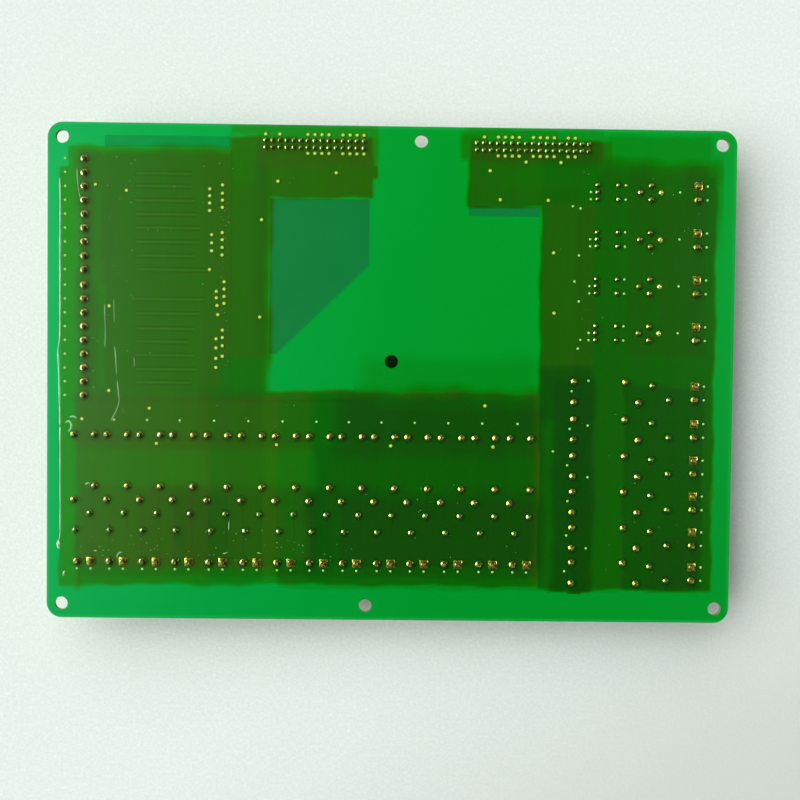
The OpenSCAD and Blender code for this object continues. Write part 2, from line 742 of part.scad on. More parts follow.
// Varistor discs stand on edge, in line with their leads, and their resin runs onto the leads.
module varistors() {
    run = norm([disc_lead_x, disc_lead_y]);
    lean = atan2(-disc_lead_y, disc_lead_x);
    round_off = disc_t / 4;
    color([0.12, 0.25, 0.6]) {
        for (p = disc_spots) {
            under(p) rotate([0, 0, lean]) {
                translate([0, 0, disc_lift + disc_d / 2])
                    rotate([90, 0, 0])
                        rotate_extrude()
                            polygon([
                                [0, -disc_t / 2], [disc_d / 2 - round_off * 2, -disc_t / 2],
                                [disc_d / 2 - round_off, -disc_t / 2 + round_off / 3],
                                [disc_d / 2, -disc_t / 6], [disc_d / 2, disc_t / 6],
                                [disc_d / 2 - round_off, disc_t / 2 - round_off / 3],
                                [disc_d / 2 - round_off * 2, disc_t / 2], [0, disc_t / 2]
                            ]);
                for (x = [-1, 1]) {
                    translate([x * run / 2, 0, disc_lift]) cylinder(d = 2 * disc_lead_d, h = disc_d / 2);
                }
            }
        }
    }
}

module varistor_leads() {
    color([0.78, 0.76, 0.7]) {
        for (p = disc_lead_spots) {
            over(p)
                translate([0, 0, -board_t - disc_lift])
                    cylinder(d = disc_lead_d, h = disc_lift + board_t + pin_tip);
        }
    }
}

// Two-post connector: a base with a friction wall behind its posts.
module output_connector(p) {
    wall_y = -wafer_d / 2;
    color([0.92, 0.9, 0.84])
        under(p)
            difference() {
                union() {
                    block([wafer_l, wafer_d, wafer_base_h]);
                    translate([-wafer_l / 2, wall_y, 0]) cube([wafer_l, wafer_wall_t, wafer_wall_h]);
                    translate([-wafer_l / 4, wall_y + wafer_wall_t, wafer_wall_h - wafer_lock_h])
                        rotate([0, 90, 0])
                            linear_extrude(wafer_l / 2)
                                polygon([
                                    [-wafer_lock_h, 0], [wafer_lock_h / 2, 0],
                                    [-wafer_lock_h / 4, wafer_lock_t]
                                ]);
                }
                for (x = [-1, 1]) {
                    translate([x * wafer_pitch / 2, 0, -1]) block([post_w, post_w, wafer_base_h + 2]);
                }
            }
}

module output_connectors(spots) {
    for (p = spots) output_connector(p);
}

module output_posts() {
    color([0.8, 0.78, 0.7]) {
        for (p = post_spots) {
            over(p)
                translate([0, 0, -board_t - post_h])
                    block([post_w, post_w, post_h + board_t + pin_tip]);
        }
    }
}

// Six-legged opto-triac with one leg cut off, as its circuit asks.
module opto_triacs() {
    color([0.93, 0.93, 0.9]) {
        for (p = opto_spots) {
            under(p)
                translate([0, 0, opto_lift])
                    difference() {
                        bevelled([opto_w, opto_l, opto_h], body_bevel);
                        translate([0, -opto_l / 2, opto_h - notch_t]) cylinder(d = notch_d, h = 1);
                    }
        }
    }
}

module opto_triac_legs() {
    shoulder = opto_lift + opto_h / 2;
    reach = (opto_span - opto_w) / 2 + opto_leg_t / 2;
    color([0.78, 0.76, 0.7]) {
        for (p = opto_spots, q = opto_legs_at) {
            side = sign(q.x);
            under(p + q) {
                translate([0, 0, -board_t - pin_tip])
                    block([opto_leg_t, opto_leg_w, shoulder + board_t + pin_tip]);
                translate([-side * (reach - opto_leg_t) / 2, 0, shoulder - opto_leg_t])
                    block([reach, opto_leg_w * 2, opto_leg_t]);
            }
        }
    }
}

// Flat triac that stands on its three legs, with a metal plate let into its back.
module triacs() {
    color([0.1, 0.1, 0.11]) {
        for (p = triac_spots) {
            under(p)
                translate([0, 0, triac_lift])
                    difference() {
                        bevelled([triac_t, triac_w, triac_h], body_bevel);
                        translate([triac_t / 2, 0, -1])
                            block([2 * triac_plate_t, triac_plate_w, triac_h + 2]);
                        triac_eye();
                    }
        }
    }
}

// The screw hole through a triac and its plate.
module triac_eye() {
    translate([0, 0, triac_h * 0.7])
        rotate([0, 90, 0]) cylinder(d = triac_eye_d, h = 2 * triac_t, center = true);
}

module triac_plates() {
    color([0.7, 0.7, 0.68]) {
        for (p = triac_spots) {
            under(p)
                translate([triac_t / 2 - triac_plate_t / 2, 0, triac_lift])
                    difference() {
                        block([triac_plate_t, triac_plate_w, triac_h - triac_plate_t]);
                        triac_eye();
                    }
        }
    }
}

module triac_legs() {
    color([0.78, 0.76, 0.7]) {
        for (p = triac_spots, q = triac_legs_at) {
            under(p + q) {
                height = q.x == 0 ? triac_lift : triac_lift * 0.55;
                translate([0, 0, -board_t - pin_tip])
                    block([triac_leg, triac_leg, height + board_t + pin_tip]);
                if (q.x != 0) {
                    translate([-triac_leg / 2, -triac_leg / 2, height - triac_leg])
                        cube([triac_kink + triac_leg, triac_leg, triac_leg]);
                    translate([triac_kink, 0, height - triac_leg])
                        block([triac_leg, triac_leg, triac_lift - height + triac_leg]);
                }
            }
        }
    }
}

// Solder joints, one cone round each tail.
module solder(spots, inner, joint_d) {
    color([0.72, 0.66, 0.45]) {
        for (p = spots) over(p) solder_cone(inner, joint_d / 2);
    }
}

// Joints on square pads keep a square foot.
module square_solder(spots, inner, joint_d) {
    color([0.72, 0.66, 0.45]) {
        for (p = spots) {
            over(p) {
                solder_cone(inner, joint_d / 2);
                linear_extrude(solder_foot)
                    difference() {
                        square(joint_d, center = true);
                        circle(r = inner);
                    }
            }
        }
    }
}

// Spare pads are filled with solder and hold no leg.
module spare_pads() {
    r = triac_joint_d / 2;
    color([0.72, 0.66, 0.45]) {
        for (p = spare_pad_spots) {
            over(p)
                rotate_extrude()
                    polygon([
                        [0, 0], [r, 0], [r * 0.85, solder_h * 0.35],
                        [r * 0.5, solder_h * 0.6], [0, solder_h * 0.7]
                    ]);
        }
    }
}

// Flat chips stand just off the board, with a dimple that marks the first leg.
module flat_chips(spots) {
    body_h = chip_h - flat_chip_lift;
    color([0.1, 0.1, 0.11]) {
        for (p = spots) {
            under(p)
                translate([0, 0, flat_chip_lift])
                    difference() {
                        bevelled([chip_w, chip_l, body_h], body_bevel);
                        translate([chip_mark_in - chip_w / 2, chip_mark_in - chip_l / 2, 0])
                            translate([0, 0, body_h - chip_mark_t]) cylinder(d = chip_mark_d, h = 1);
                    }
        }
    }
}

// Each leg leaves the body's side, turns down and ends in a flat foot.
module chip_legs() {
    color([0.78, 0.76, 0.7]) {
        for (p = concat(coupler_spots, driver_spots), side = [-1, 1], k = [0 : chip_legs_a_side - 1]) {
            under(p)
                translate([side * chip_w / 2, (k - (chip_legs_a_side - 1) / 2) * chip_pitch, 0])
                    rotate([90, 0, side < 0 ? 180 : 0])
                        linear_extrude(chip_leg_w, center = true) chip_leg_side();
        }
    }
}

module chip_leg_side() {
    translate([0, chip_h / 2 - chip_leg_t]) square([chip_shoulder, chip_leg_t]);
    translate([chip_shoulder - chip_leg_t, 0]) square([chip_leg_t, chip_h / 2]);
    translate([chip_shoulder - chip_leg_t, 0]) square([chip_foot, chip_leg_t]);
}

// Small chips lie flat on the component side, with a metal cap on each end.
module small_chips(spots, height) {
    for (p = spots) under(p) block([small_chip_l - 2 * cap_l, small_chip_w, height]);
}

module chip_caps(spots, height) {
    for (p = spots, side = [-1, 1]) {
        under(p)
            translate([side * (small_chip_l - cap_l) / 2, 0, 0]) block([cap_l, small_chip_w, height]);
    }
}

module chip_ends() {
    color([0.8, 0.8, 0.78]) {
        chip_caps(resistor_spots, small_chip_h);
        chip_caps(capacitor_spots, 2 * small_chip_h);
        chip_caps(lamp_spots, small_chip_h);
    }
}

board();
coating();
via_plating();
header_housing(header_30_u, header_30_columns);  // header_30_housing
header_pins(header_30_spots);  // header_30_pins
header_housing(header_34_u, header_34_columns);  // header_34_housing
header_pins(header_34_spots);  // header_34_pins
terminal_block(upper_block_v);  // terminal_block_upper
terminal_block(lower_block_v);  // terminal_block_lower
terminal_cages();
terminal_screws();
terminal_pins();
for (k = [1 : len(relay_spots)]) {
    relay(relay_spots[k - 1]);
}
relay_pins();
varistors();
varistor_leads();
output_connectors(wafer_row_spots);  // output_connectors_row
output_connectors(wafer_column_spots);  // output_connectors_column
output_connectors(wafer_triac_spots);  // output_connectors_triac
output_posts();
opto_triacs();
opto_triac_legs();
triacs();
triac_plates();
triac_legs();
union() {  // header_solder
    solder(concat(header_30_spots, header_34_spots), header_pin_r, header_joint_d);
}
solder(terminal_spots, terminal_pin_r, terminal_joint_d);  // terminal_solder
solder(relay_pin_spots, relay_pin_d / 2, relay_joint_d);  // relay_solder
solder(disc_lead_spots, disc_lead_d / 2, disc_joint_d);  // varistor_solder
union() {  // output_solder
    solder(round_post_spots, post_r, wafer_joint_d);
    square_solder(square_post_spots, post_r, wafer_joint_d);
}
solder(opto_leg_spots, opto_leg_r, opto_joint_d);  // opto_triac_solder
union() {  // triac_solder
    solder(triac_leg_spots, triac_leg_r, triac_joint_d);
    spare_pads();
}
flat_chips(coupler_spots);  // input_couplers
flat_chips(driver_spots);  // relay_drivers
chip_legs();
union() {  // chip_resistors
    color([0.08, 0.08, 0.08]) small_chips(resistor_spots, small_chip_h);
}
union() {  // chip_capacitors
    color([0.7, 0.55, 0.35]) small_chips(capacitor_spots, 2 * small_chip_h);
}
union() {  // status_lamps
    color([0.9, 0.9, 0.75]) small_chips(lamp_spots, small_chip_h);
}
chip_ends();
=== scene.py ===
import bpy
import numpy as np
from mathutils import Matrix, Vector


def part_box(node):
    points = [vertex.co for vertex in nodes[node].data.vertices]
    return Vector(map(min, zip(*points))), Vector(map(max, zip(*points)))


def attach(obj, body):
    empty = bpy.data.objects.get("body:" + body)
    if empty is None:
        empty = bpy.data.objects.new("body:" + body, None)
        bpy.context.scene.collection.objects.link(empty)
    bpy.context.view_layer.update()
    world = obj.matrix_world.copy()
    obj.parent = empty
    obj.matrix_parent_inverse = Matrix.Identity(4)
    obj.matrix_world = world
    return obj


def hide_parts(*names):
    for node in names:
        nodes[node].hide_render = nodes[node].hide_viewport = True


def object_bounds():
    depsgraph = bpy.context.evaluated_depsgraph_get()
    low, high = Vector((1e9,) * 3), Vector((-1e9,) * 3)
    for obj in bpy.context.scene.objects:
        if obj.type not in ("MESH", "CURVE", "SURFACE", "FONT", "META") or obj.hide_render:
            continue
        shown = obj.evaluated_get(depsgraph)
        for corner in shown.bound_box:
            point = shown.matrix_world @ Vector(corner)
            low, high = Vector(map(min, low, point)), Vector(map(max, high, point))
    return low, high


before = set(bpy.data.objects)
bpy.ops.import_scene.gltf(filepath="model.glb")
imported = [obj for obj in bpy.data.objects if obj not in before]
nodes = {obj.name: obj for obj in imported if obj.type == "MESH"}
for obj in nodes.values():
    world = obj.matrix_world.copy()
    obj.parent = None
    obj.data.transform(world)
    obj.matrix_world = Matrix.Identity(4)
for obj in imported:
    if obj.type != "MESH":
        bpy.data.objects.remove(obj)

cad_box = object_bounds()

# ---- The view ----
# The board lies solder side up on a bench, and the camera hangs straight over it, 35 cm above, as
# someone holds one to take stock of it. It is turned and tipped by a degree or so.
camera_data = bpy.data.cameras.new("camera")
camera_data.lens = 43
camera = bpy.data.objects.new("camera", camera_data)
camera.location = (-0.0004, -0.0004, 0.3652)
camera.rotation_euler = np.radians((-1.449, -0.589, 0.656))
scene = bpy.context.scene
scene.collection.objects.link(camera)
scene.camera = camera
scene.view_settings.view_transform = "Standard"


# ---- The bench ----
# A sheet of white packing foam lies under the board: matt, closed-celled and faintly sparkling. It
# runs far past the board, so that the bench looks the same from the side.
class Paint:
    """A socket of a node tree. Sums, differences, products and quotients of paints and numbers add
    Math nodes, and add() makes any other node."""

    def __init__(self, tree, socket=None):
        self.tree = tree
        self.socket = socket

    def add(self, kind, settings=None, inputs=None, output=0):
        """The output of a new node of that kind, its settings made before its sockets are fed."""
        node = self.tree.nodes.new(kind)
        for key, value in (settings or {}).items():
            setattr(node, key, value)
        for key, value in (inputs or {}).items():
            if isinstance(value, Paint):
                self.tree.links.new(value.socket, node.inputs[key])
            else:
                node.inputs[key].default_value = value
        return Paint(self.tree, node.outputs[output])

    def math(self, operation, first, second=0.0):
        return self.add("ShaderNodeMath", {"operation": operation}, {0: first, 1: second})

    def __add__(self, other):
        return self.math("ADD", self, other)

    def __radd__(self, other):
        return self.math("ADD", other, self)

    def __sub__(self, other):
        return self.math("SUBTRACT", self, other)

    def __rsub__(self, other):
        return self.math("SUBTRACT", other, self)

    def __mul__(self, other):
        return self.math("MULTIPLY", self, other)

    def __rmul__(self, other):
        return self.math("MULTIPLY", other, self)

    def __truediv__(self, other):
        return self.math("DIVIDE", self, other)

    def __rtruediv__(self, other):
        return self.math("DIVIDE", other, self)

    def __abs__(self):
        return self.math("ABSOLUTE", self)

    def least(self, other):
        return self.math("MINIMUM", self, other)

    def most(self, other):
        return self.math("MAXIMUM", self, other)

    def step(self, low, high):
        """0 below low, 1 above high, and a smooth ramp between them."""
        return self.add(
            "ShaderNodeMapRange",
            {"interpolation_type": "SMOOTHSTEP"},
            {"Value": self, "From Min": low, "From Max": high},
        )

    def blend(self, first, second):
        """The colour first where this is 0, second where it is 1."""
        inputs = {0: self, 6: first, 7: second}
        return self.add("ShaderNodeMix", {"data_type": "RGBA"}, inputs, output=2)

    def noise(self, size, stretch=(1, 1, 1), detail=2.0):
        """Noise from 0 to 1. Its grains are that size, in metres, over stretch on each axis."""
        place = self.add("ShaderNodeVectorMath", {"operation": "MULTIPLY"}, {0: self, 1: stretch})
        inputs = {"Vector": place, "Scale": 1 / size, "Detail": detail}
        return self.add("ShaderNodeTexNoise", None, inputs)

    def specks(self, size, width):
        """1 at scattered points about size apart, in metres, and 0 past that width from them."""
        inputs = {"Vector": self, "Scale": 1 / size}
        away = self.add("ShaderNodeTexVoronoi", None, inputs, output="Distance")
        return 1 - away.step(0.3 * width / size, width / size)

    def bump(self, height, strength=1.0):
        """The surface's normal, tilted by this as a relief of that height in metres."""
        settings = {"Height": self, "Distance": height, "Strength": strength}
        return self.add("ShaderNodeBump", None, settings)


class Finish:
    """A material with one Principled shader, and the place that its patterns follow."""

    def __init__(self, name):
        self.material = bpy.data.materials.new(name)
        self.material.use_nodes = True
        tree = self.material.node_tree
        self.shader = tree.nodes["Principled BSDF"]
        self.paint = Paint(tree)
        self.place = self.paint.add("ShaderNodeTexCoord", output="Object")
        self.x, self.y, self.z = (
            self.place.add("ShaderNodeSeparateXYZ", None, {0: self.place}, output=axis)
            for axis in "XYZ"
        )

    def set(self, values):
        """Gives the shader's sockets these numbers, colours or paints."""
        for name, value in values.items():
            if isinstance(value, Paint):
                self.paint.tree.links.new(value.socket, self.shader.inputs[name])
            else:
                self.shader.inputs[name].default_value = value
        return self.material

    def body(self):
        """The Principled shader, to be mixed with others."""
        return Paint(self.paint.tree, self.shader.outputs[0])

    def mix_shaders(self, share, first, second):
        """The shader first where share is 0, second where it is 1."""
        return self.paint.add("ShaderNodeMixShader", None, {0: share, 1: first, 2: second})

    def show(self, mixed):
        """Makes a mixed shader the material's surface."""
        output = self.paint.tree.nodes["Material Output"]
        self.paint.tree.links.new(mixed.socket, output.inputs["Surface"])

    def measure(self, name):
        """A number that the piece's mesh holds at each point."""
        return self.paint.add("ShaderNodeAttribute", {"attribute_name": name}, output="Fac")


def colour(red, green, blue):
    """A shader colour from what a screen shows as red, green and blue out of 255."""
    part = np.array([red, green, blue]) / 255
    linear = np.where(part < 0.04045, part / 12.92, ((part + 0.055) / 1.055) ** 2.4)
    return (*linear.tolist(), 1.0)


def make_mesh(name, points, faces, finish, crease=180):
    """An object at the origin from points in metres and lists of corners. It is shaded smooth but
    for the edges that turn by more than that many degrees."""
    mesh = bpy.data.meshes.new(name)
    mesh.from_pydata(points.reshape(-1, 3).tolist(), [], faces)
    mesh.materials.append(finish)
    mesh.shade_smooth()
    mesh.set_sharp_from_angle(angle=np.radians(crease))
    piece = bpy.data.objects.new(name, mesh)
    scene.collection.objects.link(piece)
    return piece


def grid_faces(rows, columns, closed=False):
    """The four-cornered faces of a grid of points, which may close on itself across its columns."""
    index = np.arange(rows * columns).reshape(rows, columns)
    if closed:
        index = np.concatenate([index, index[:, :1]], axis=1)
    corners = [index[:-1, :-1], index[:-1, 1:], index[1:, 1:], index[1:, :-1]]
    return np.stack(corners, axis=-1).reshape(-1, 4)


foam = Finish("packing_foam")
foam_cells = foam.place.noise(0.0011, detail=3)
foam_sparkle = foam.place.specks(0.004, 0.0006)
foam_shade = (foam_cells.step(0.3, 0.75) * 0.6 + foam_sparkle * 0.5).least(1)
foam_colour = foam_shade.blend(colour(232, 242, 234), colour(250, 255, 250))
# Painted shade: the foam is painted greyer past the board's lower right corner, which is farthest
# from the windows.
painted_shade_far_corner = (foam.x - foam.y * 1.6).step(0.14, 0.42)
foam.set({
    "Base Color": (painted_shade_far_corner * 0.8).blend(foam_colour, colour(204, 210, 203)),
    "Roughness": 0.9,
    "Normal": foam_cells.bump(0.0002, 0.5),
})
# The sheet is a disc of rings that widen out to 30 m, at the height of the board's lowest parts.
BENCH_SPOKES = 48
ring = np.concatenate([[0.0005], np.geomspace(0.2, 30, 24)])[:, None]
around = np.linspace(0, 2 * np.pi, BENCH_SPOKES, endpoint=False)
bench_x, bench_y = ring * np.cos(around), ring * np.sin(around)
bench_z = np.full_like(bench_x, cad_box[0][2])
bench_points = np.stack([bench_x, bench_y, bench_z], axis=-1)
bench_faces = grid_faces(len(ring), BENCH_SPOKES, closed=True).tolist()
bench = make_mesh("bench", bench_points, bench_faces, foam.material)

# ---- The light ----
# A broad window to the left of the board gives most of the light, and another beyond its top edge
# fills in. Two small lamps only put glints on the metal. The walls are pale, and the ceiling dark.
world = bpy.data.worlds.new("room")
world.use_nodes = True
scene.world = world
room = Paint(world.node_tree)
direction = room.add("ShaderNodeTexCoord", output="Generated")
rightward, height = (
    room.add("ShaderNodeSeparateXYZ", None, {0: direction}, output=axis) for axis in "XZ"
)
walls = rightward.step(-0.9, 0.9).blend(colour(190, 194, 188), colour(112, 116, 110))
ceiling_share = height.step(0.35, 0.8)
ceiling = colour(40, 44, 42)
room_light = ceiling_share.blend(walls, ceiling)
# What the camera sees round the object, metal and gloss mirror too.
seen, mirrored, refracted = (
    room.add("ShaderNodeLightPath", output=f"Is {kind} Ray")
    for kind in ("Camera", "Glossy", "Transmission")
)
backdrop = ceiling_share.blend(colour(222, 227, 221), ceiling)
room_colour = seen.most(mirrored).most(refracted).blend(room_light, backdrop)
background = world.node_tree.nodes["Background"]
world.node_tree.links.new(room_colour.socket, background.inputs["Color"])

# name, energy, degrees left of overhead, degrees towards the top edge, how wide it looks in
# degrees, and whether it lights more than gloss
for name, energy, leftwards, upwards, spread, lights_all in (
    ("left_window", 2.62, 48, 2, 62, True),
    ("far_window", 1.38, 22, 49, 56, True),
    ("left_lamp", 2.8, 44, 6, 24, False),
    ("right_lamp", 1.2, -38, 5, 16, False),
):
    lamp = bpy.data.lights.new(name, "SUN")
    lamp.energy = energy
    lamp.angle = np.radians(spread)
    lamp_object = bpy.data.objects.new(name, lamp)
    lamp_object.rotation_euler = np.radians((-upwards, -leftwards, 0))
    lamp_object.visible_diffuse = lights_all
    scene.collection.objects.link(lamp_object)

# ---- Board ----
# Glass and epoxy laminate, 1.6 mm thick, with a glossy green solder mask on both faces. Its cut
# edges and drilled walls show the pale laminate, and the mask thins towards them. Screws through
# four corner holes, two edge holes and one in the middle hold it.
board_low, board_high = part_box("board")
top = board_high[2]
half_w = (board_high[0] - board_low[0]) / 2
half_d = (board_high[1] - board_low[1]) / 2
mm = 0.001


def on_board(u, v):
    """x and y, in metres, of places given in millimetres right and down from the board's corner."""
    return board_low[0] + np.asarray(u) * mm, board_high[1] - np.asarray(v) * mm


def carry(piece):
    """Fixes a piece to the board."""
    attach(piece, "root")
    return piece


def dress(names, material):
    """Gives the pieces of those nodes a material."""
    for name in names:
        materials = nodes[name].data.materials
        materials.clear()
        materials.append(material)


MASK_ROUGHNESS = 0.27
MASK_GLOSS = {"Specular IOR Level": 0.4, "Specular Tint": (0.15, 1.0, 0.75, 1.0)}
laminate_pale = colour(150, 170, 90)
laminate_dark = colour(96, 118, 48)

mask = Finish("solder_mask")
# Painted sheen and shade: the mask's green is painted lighter and bluer towards the left and top
# edges, where the windows are, and darker towards the right and bottom.
painted_light_rightwards = mask.x.step(-half_w, half_w * 0.4)
painted_light_farwards = mask.y.step(-half_d, half_d)
mask_green_with_painted_sheen = painted_light_rightwards.blend(colour(0, 168, 66), colour(0, 151, 36))
far_green_painted_sheen = painted_light_rightwards.blend(colour(0, 184, 66), colour(0, 169, 30))
mask_green_with_painted_sheen = (painted_light_farwards * 0.5).blend(mask_green_with_painted_sheen, far_green_painted_sheen)
clouds = mask.place.noise(0.05, detail=3)
mask_green_with_painted_sheen = (clouds * 0.3).blend(mask_green_with_painted_sheen, colour(0, 140, 40))
to_edge = (half_w - abs(mask.x)).least(half_d - abs(mask.y))
thin_edge = 0.35 - to_edge.step(0.3 * mm, 1.6 * mm) * 0.35
mask_green_with_painted_sheen = thin_edge.blend(mask_green_with_painted_sheen, colour(40, 178, 84))
fibres = mask.place.noise(0.0004, stretch=(0.15, 0.15, 4), detail=1)
laminate = fibres.step(0.35, 0.65).blend(laminate_dark, laminate_pale)
# Between these depths the mask gives way to the laminate on an edge or in a hole.
MASK_THIN, MASK_THICK = 0.03 * mm, 0.08 * mm
above = mask.z.step(top - MASK_THICK, top - MASK_THIN)
below = 1 - mask.z.step(board_low[2] + MASK_THIN, board_low[2] + MASK_THICK)
cut = 1 - above - below
orange_peel = mask.place.noise(0.0025, detail=2)
mask.set({
    "Base Color": cut.blend(mask_green_with_painted_sheen, laminate),
    "Roughness": MASK_ROUGHNESS + cut * 0.45,
    "Normal": orange_peel.bump(0.00002, 0.4),
    **MASK_GLOSS,
})
dress(["board"], mask.material)


# ---- Copper pattern ----
# The copper under the mask is a pour that covers nearly all of the face. It is left out in two
# windows, where the mask looks bluish, and narrow gaps in it set off the tracks to the terminals.
# It is etched from copper foil, and patches of mask just above the board's own show where.
WINDOW_LIFT = 0.005 * mm
TRACK_LIFT = 0.008 * mm


def strips(boxes, height):
    """Flat rectangles that lie that far above the board, from corners (u, v, u, v) in mm."""
    u0, v0, u1, v1 = np.asarray(boxes, float).T
    u = np.stack([u0, u1, u1, u0], axis=1)
    v = np.stack([v1, v1, v0, v0], axis=1)
    x, y = on_board(u, v)
    points = np.stack([x, y, np.full_like(x, top + height)], axis=-1)
    return points, np.arange(points.shape[0] * 4).reshape(-1, 4).tolist()


def outline(corners, height):
    """One flat face that lies that far above the board, from its corners (u, v) in mm, which run
    anticlockwise."""
    u, v = np.asarray(corners, float).T
    x, y = on_board(u, v)
    return np.stack([x, y, np.full_like(x, top + height)], axis=-1), [list(range(len(corners)))]


def mask_patch(name, dark, pale, patch=0.004):
    """Solder mask of two close greens that drift over patches of that size, in metres."""
    finish = Finish(name)
    drift = finish.place.noise(patch, detail=2)
    finish.set({
        "Base Color": drift.blend(dark, pale),
        "Roughness": MASK_ROUGHNESS,
        **MASK_GLOSS,
    })
    return finish


def lay(name, patch, finish):
    """Lays a flat patch, given as its points and faces, on the board."""
    points, faces = patch
    return carry(make_mesh(name, points, faces, finish.material, crease=20))


bare = mask_patch("mask_over_laminate", colour(0, 122, 54), colour(0, 130, 58), 0.02)
bare.set({"Specular Tint": (0.6, 1.0, 0.6, 1.0)})
window = [[80.5, 83], [82.5, 83], [116.5, 50], [116.5, 26.5], [80.5, 26.5]]
lay("bare_laminate_window", outline(window, WINDOW_LIFT), bare)
lay("bare_laminate_strip", strips([[152.5, 28.4, 178.4, 32]], WINDOW_LIFT), bare)

gap = mask_patch("gaps_in_copper", colour(0, 138, 46), colour(0, 152, 56))
track_v = [18.2, 22.8, 28, 32.9, 37.8, 42.9, 47.9, 52.9, 63.6, 68.8, 74.3, 79, 83.9, 89, 93.8]
track_end = [52, 52, 53, 54, 55, 55, 53, 58, 57, 55, 53, 51, 53, 54, 52]
# A gap runs above, below and round the near end of each track, and beside each relay's leads. Two
# more are the long one right of the tracks and the bare strip along the top edge.
gap_boxes = []
for v, end in zip(track_v, track_end):
    gap_boxes += [[31.7, v - 1.1, end, v - 0.6], [31.7, v + 0.5, end, v + 1.0]]
    gap_boxes += [[31.2, v - 1.1, 31.7, v + 1.0]]
gap_boxes += [[66.2, 9, 66.5, 96], [20.5, 4.5, 66, 8.6]]
RELAYS_IN_ROW = 14
relay_names = [f"relay_{k}" for k in range(1, 21)]
relay_lows, relay_highs = np.array([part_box(name) for name in relay_names]).transpose(1, 0, 2)
relay_u = ((relay_lows + relay_highs)[:, 0] / 2 - board_low[0]) / mm
relay_v = (board_high[1] - (relay_lows + relay_highs)[:, 1] / 2) / mm
for u in relay_u[:RELAYS_IN_ROW]:
    gap_boxes += [[u - 3, 139, u - 2.6, 157.6], [u + 3.2, 133, u + 3.6, 157.6]]
for v in relay_v[RELAYS_IN_ROW:]:
    gap_boxes += [[214, v - 3.2, 234, v - 2.8], [211, v + 3, 234, v + 3.4]]
lay("copper_gaps", strips(gap_boxes, TRACK_LIFT), gap)
# Painted highlight: the tracks' lighter green stands in for light caught along the raised copper
# under the mask.
track = mask_patch("mask_on_tracks_painted_highlight", colour(10, 174, 80), colour(50, 196, 96))
track_boxes = [[31.9, v - 0.35, end, v + 0.2] for v, end in zip(track_v, track_end)]
lay("copper_tracks", strips(track_boxes, TRACK_LIFT), track)
window_edge = [[116.5, 50], [82.5, 83], [82.8, 83.3], [116.8, 50.3]]
lay("copper_edge", outline(window_edge, TRACK_LIFT), gap)

# ---- Protective film ----
# Amber varnish, brushed on by hand in overlapping passes round a bare window. It is darker where
# passes overlap, streaky along the strokes, and it fades out at the ends of a stroke. It dried on
# the board and the joints, and holds by itself.
# In millimetres, the distance between its points, its height at its foot and its height for each
# unit of coat. Where the coat is below NO_FILM, the board is bare.
FILM_STEP, FILM_FOOT, FILM_BUILD = 0.6, 0.02, 0.05
NO_FILM = 0.02


def pass_cover(u, v, left, right, upper, lower, soft, seed):
    """How fully one brush pass covers each place: the product of a smooth step in from each of its
    four sides. Each side wanders by a slow and a quick sine, and a soft side wanders more."""

    def step(t):
        t = np.clip(t / soft + 0.5, 0, 1)
        return t * t * (3 - 2 * t)

    def wander(t, k):
        return (0.6 + 0.12 * soft) * (0.4 * np.sin(t / 7.1 + k) + 0.25 * np.sin(t / 2.3 + 2.7 * k))

    across = step(u - left - wander(v, seed)) * step(right + wander(v, seed + 1.3) - u)
    along = step(v - upper - wander(u, seed + 2.1)) * step(lower + wander(u, seed + 3.4) - v)
    return across * along


# left, right, upper, lower, softness of the sides, varnish left, and how amber it is.
first_passes = [
    [7.4, 80, 8.7, 30, 0.8, 0.42, 0.65],
    [4.6, 80, 16.4, 168.4, 0.8, 0.42, 0.65],
    [10, 80, 9.5, 168, 5, 0.95, 0.65],
    [66.2, 119.6, 0, 14, 0.8, 0.27, 0.95],
    [66.2, 117.4, 4.6, 26, 1.4, 0.92, 0.65],
    [106, 119.2, 14.5, 19, 0.8, 0.92, 0.65],
    [151.8, 201, 0.5, 28.5, 1.2, 0.25, 0.5],
    [152.4, 201, 4.6, 28.5, 1.4, 0.9, 0.35],
    [149.4, 157, 2.2, 11, 2.4, 0.45, 0.4],
    [179, 242.9, 16, 168, 1.6, 0.96, 0.22],
    [179, 200, 8, 30, 1.6, 0.96, 0.22],
    [190, 242.2, 12, 40, 12, 1.0, 0.22],
    [196, 240.5, 2.5, 30, 2.5, 0.22, 0.22],
    [11, 242.7, 96.4, 167.2, 1.8, 0.8, 0.85],
    [10.5, 60, 97, 168, 3, 0.98, 0.85],
    [5.5, 242, 160, 168.8, 0.8, 0.14, 0.3],
    [114, 179, 84, 97.5, 8, 0.15, 0.0],
]
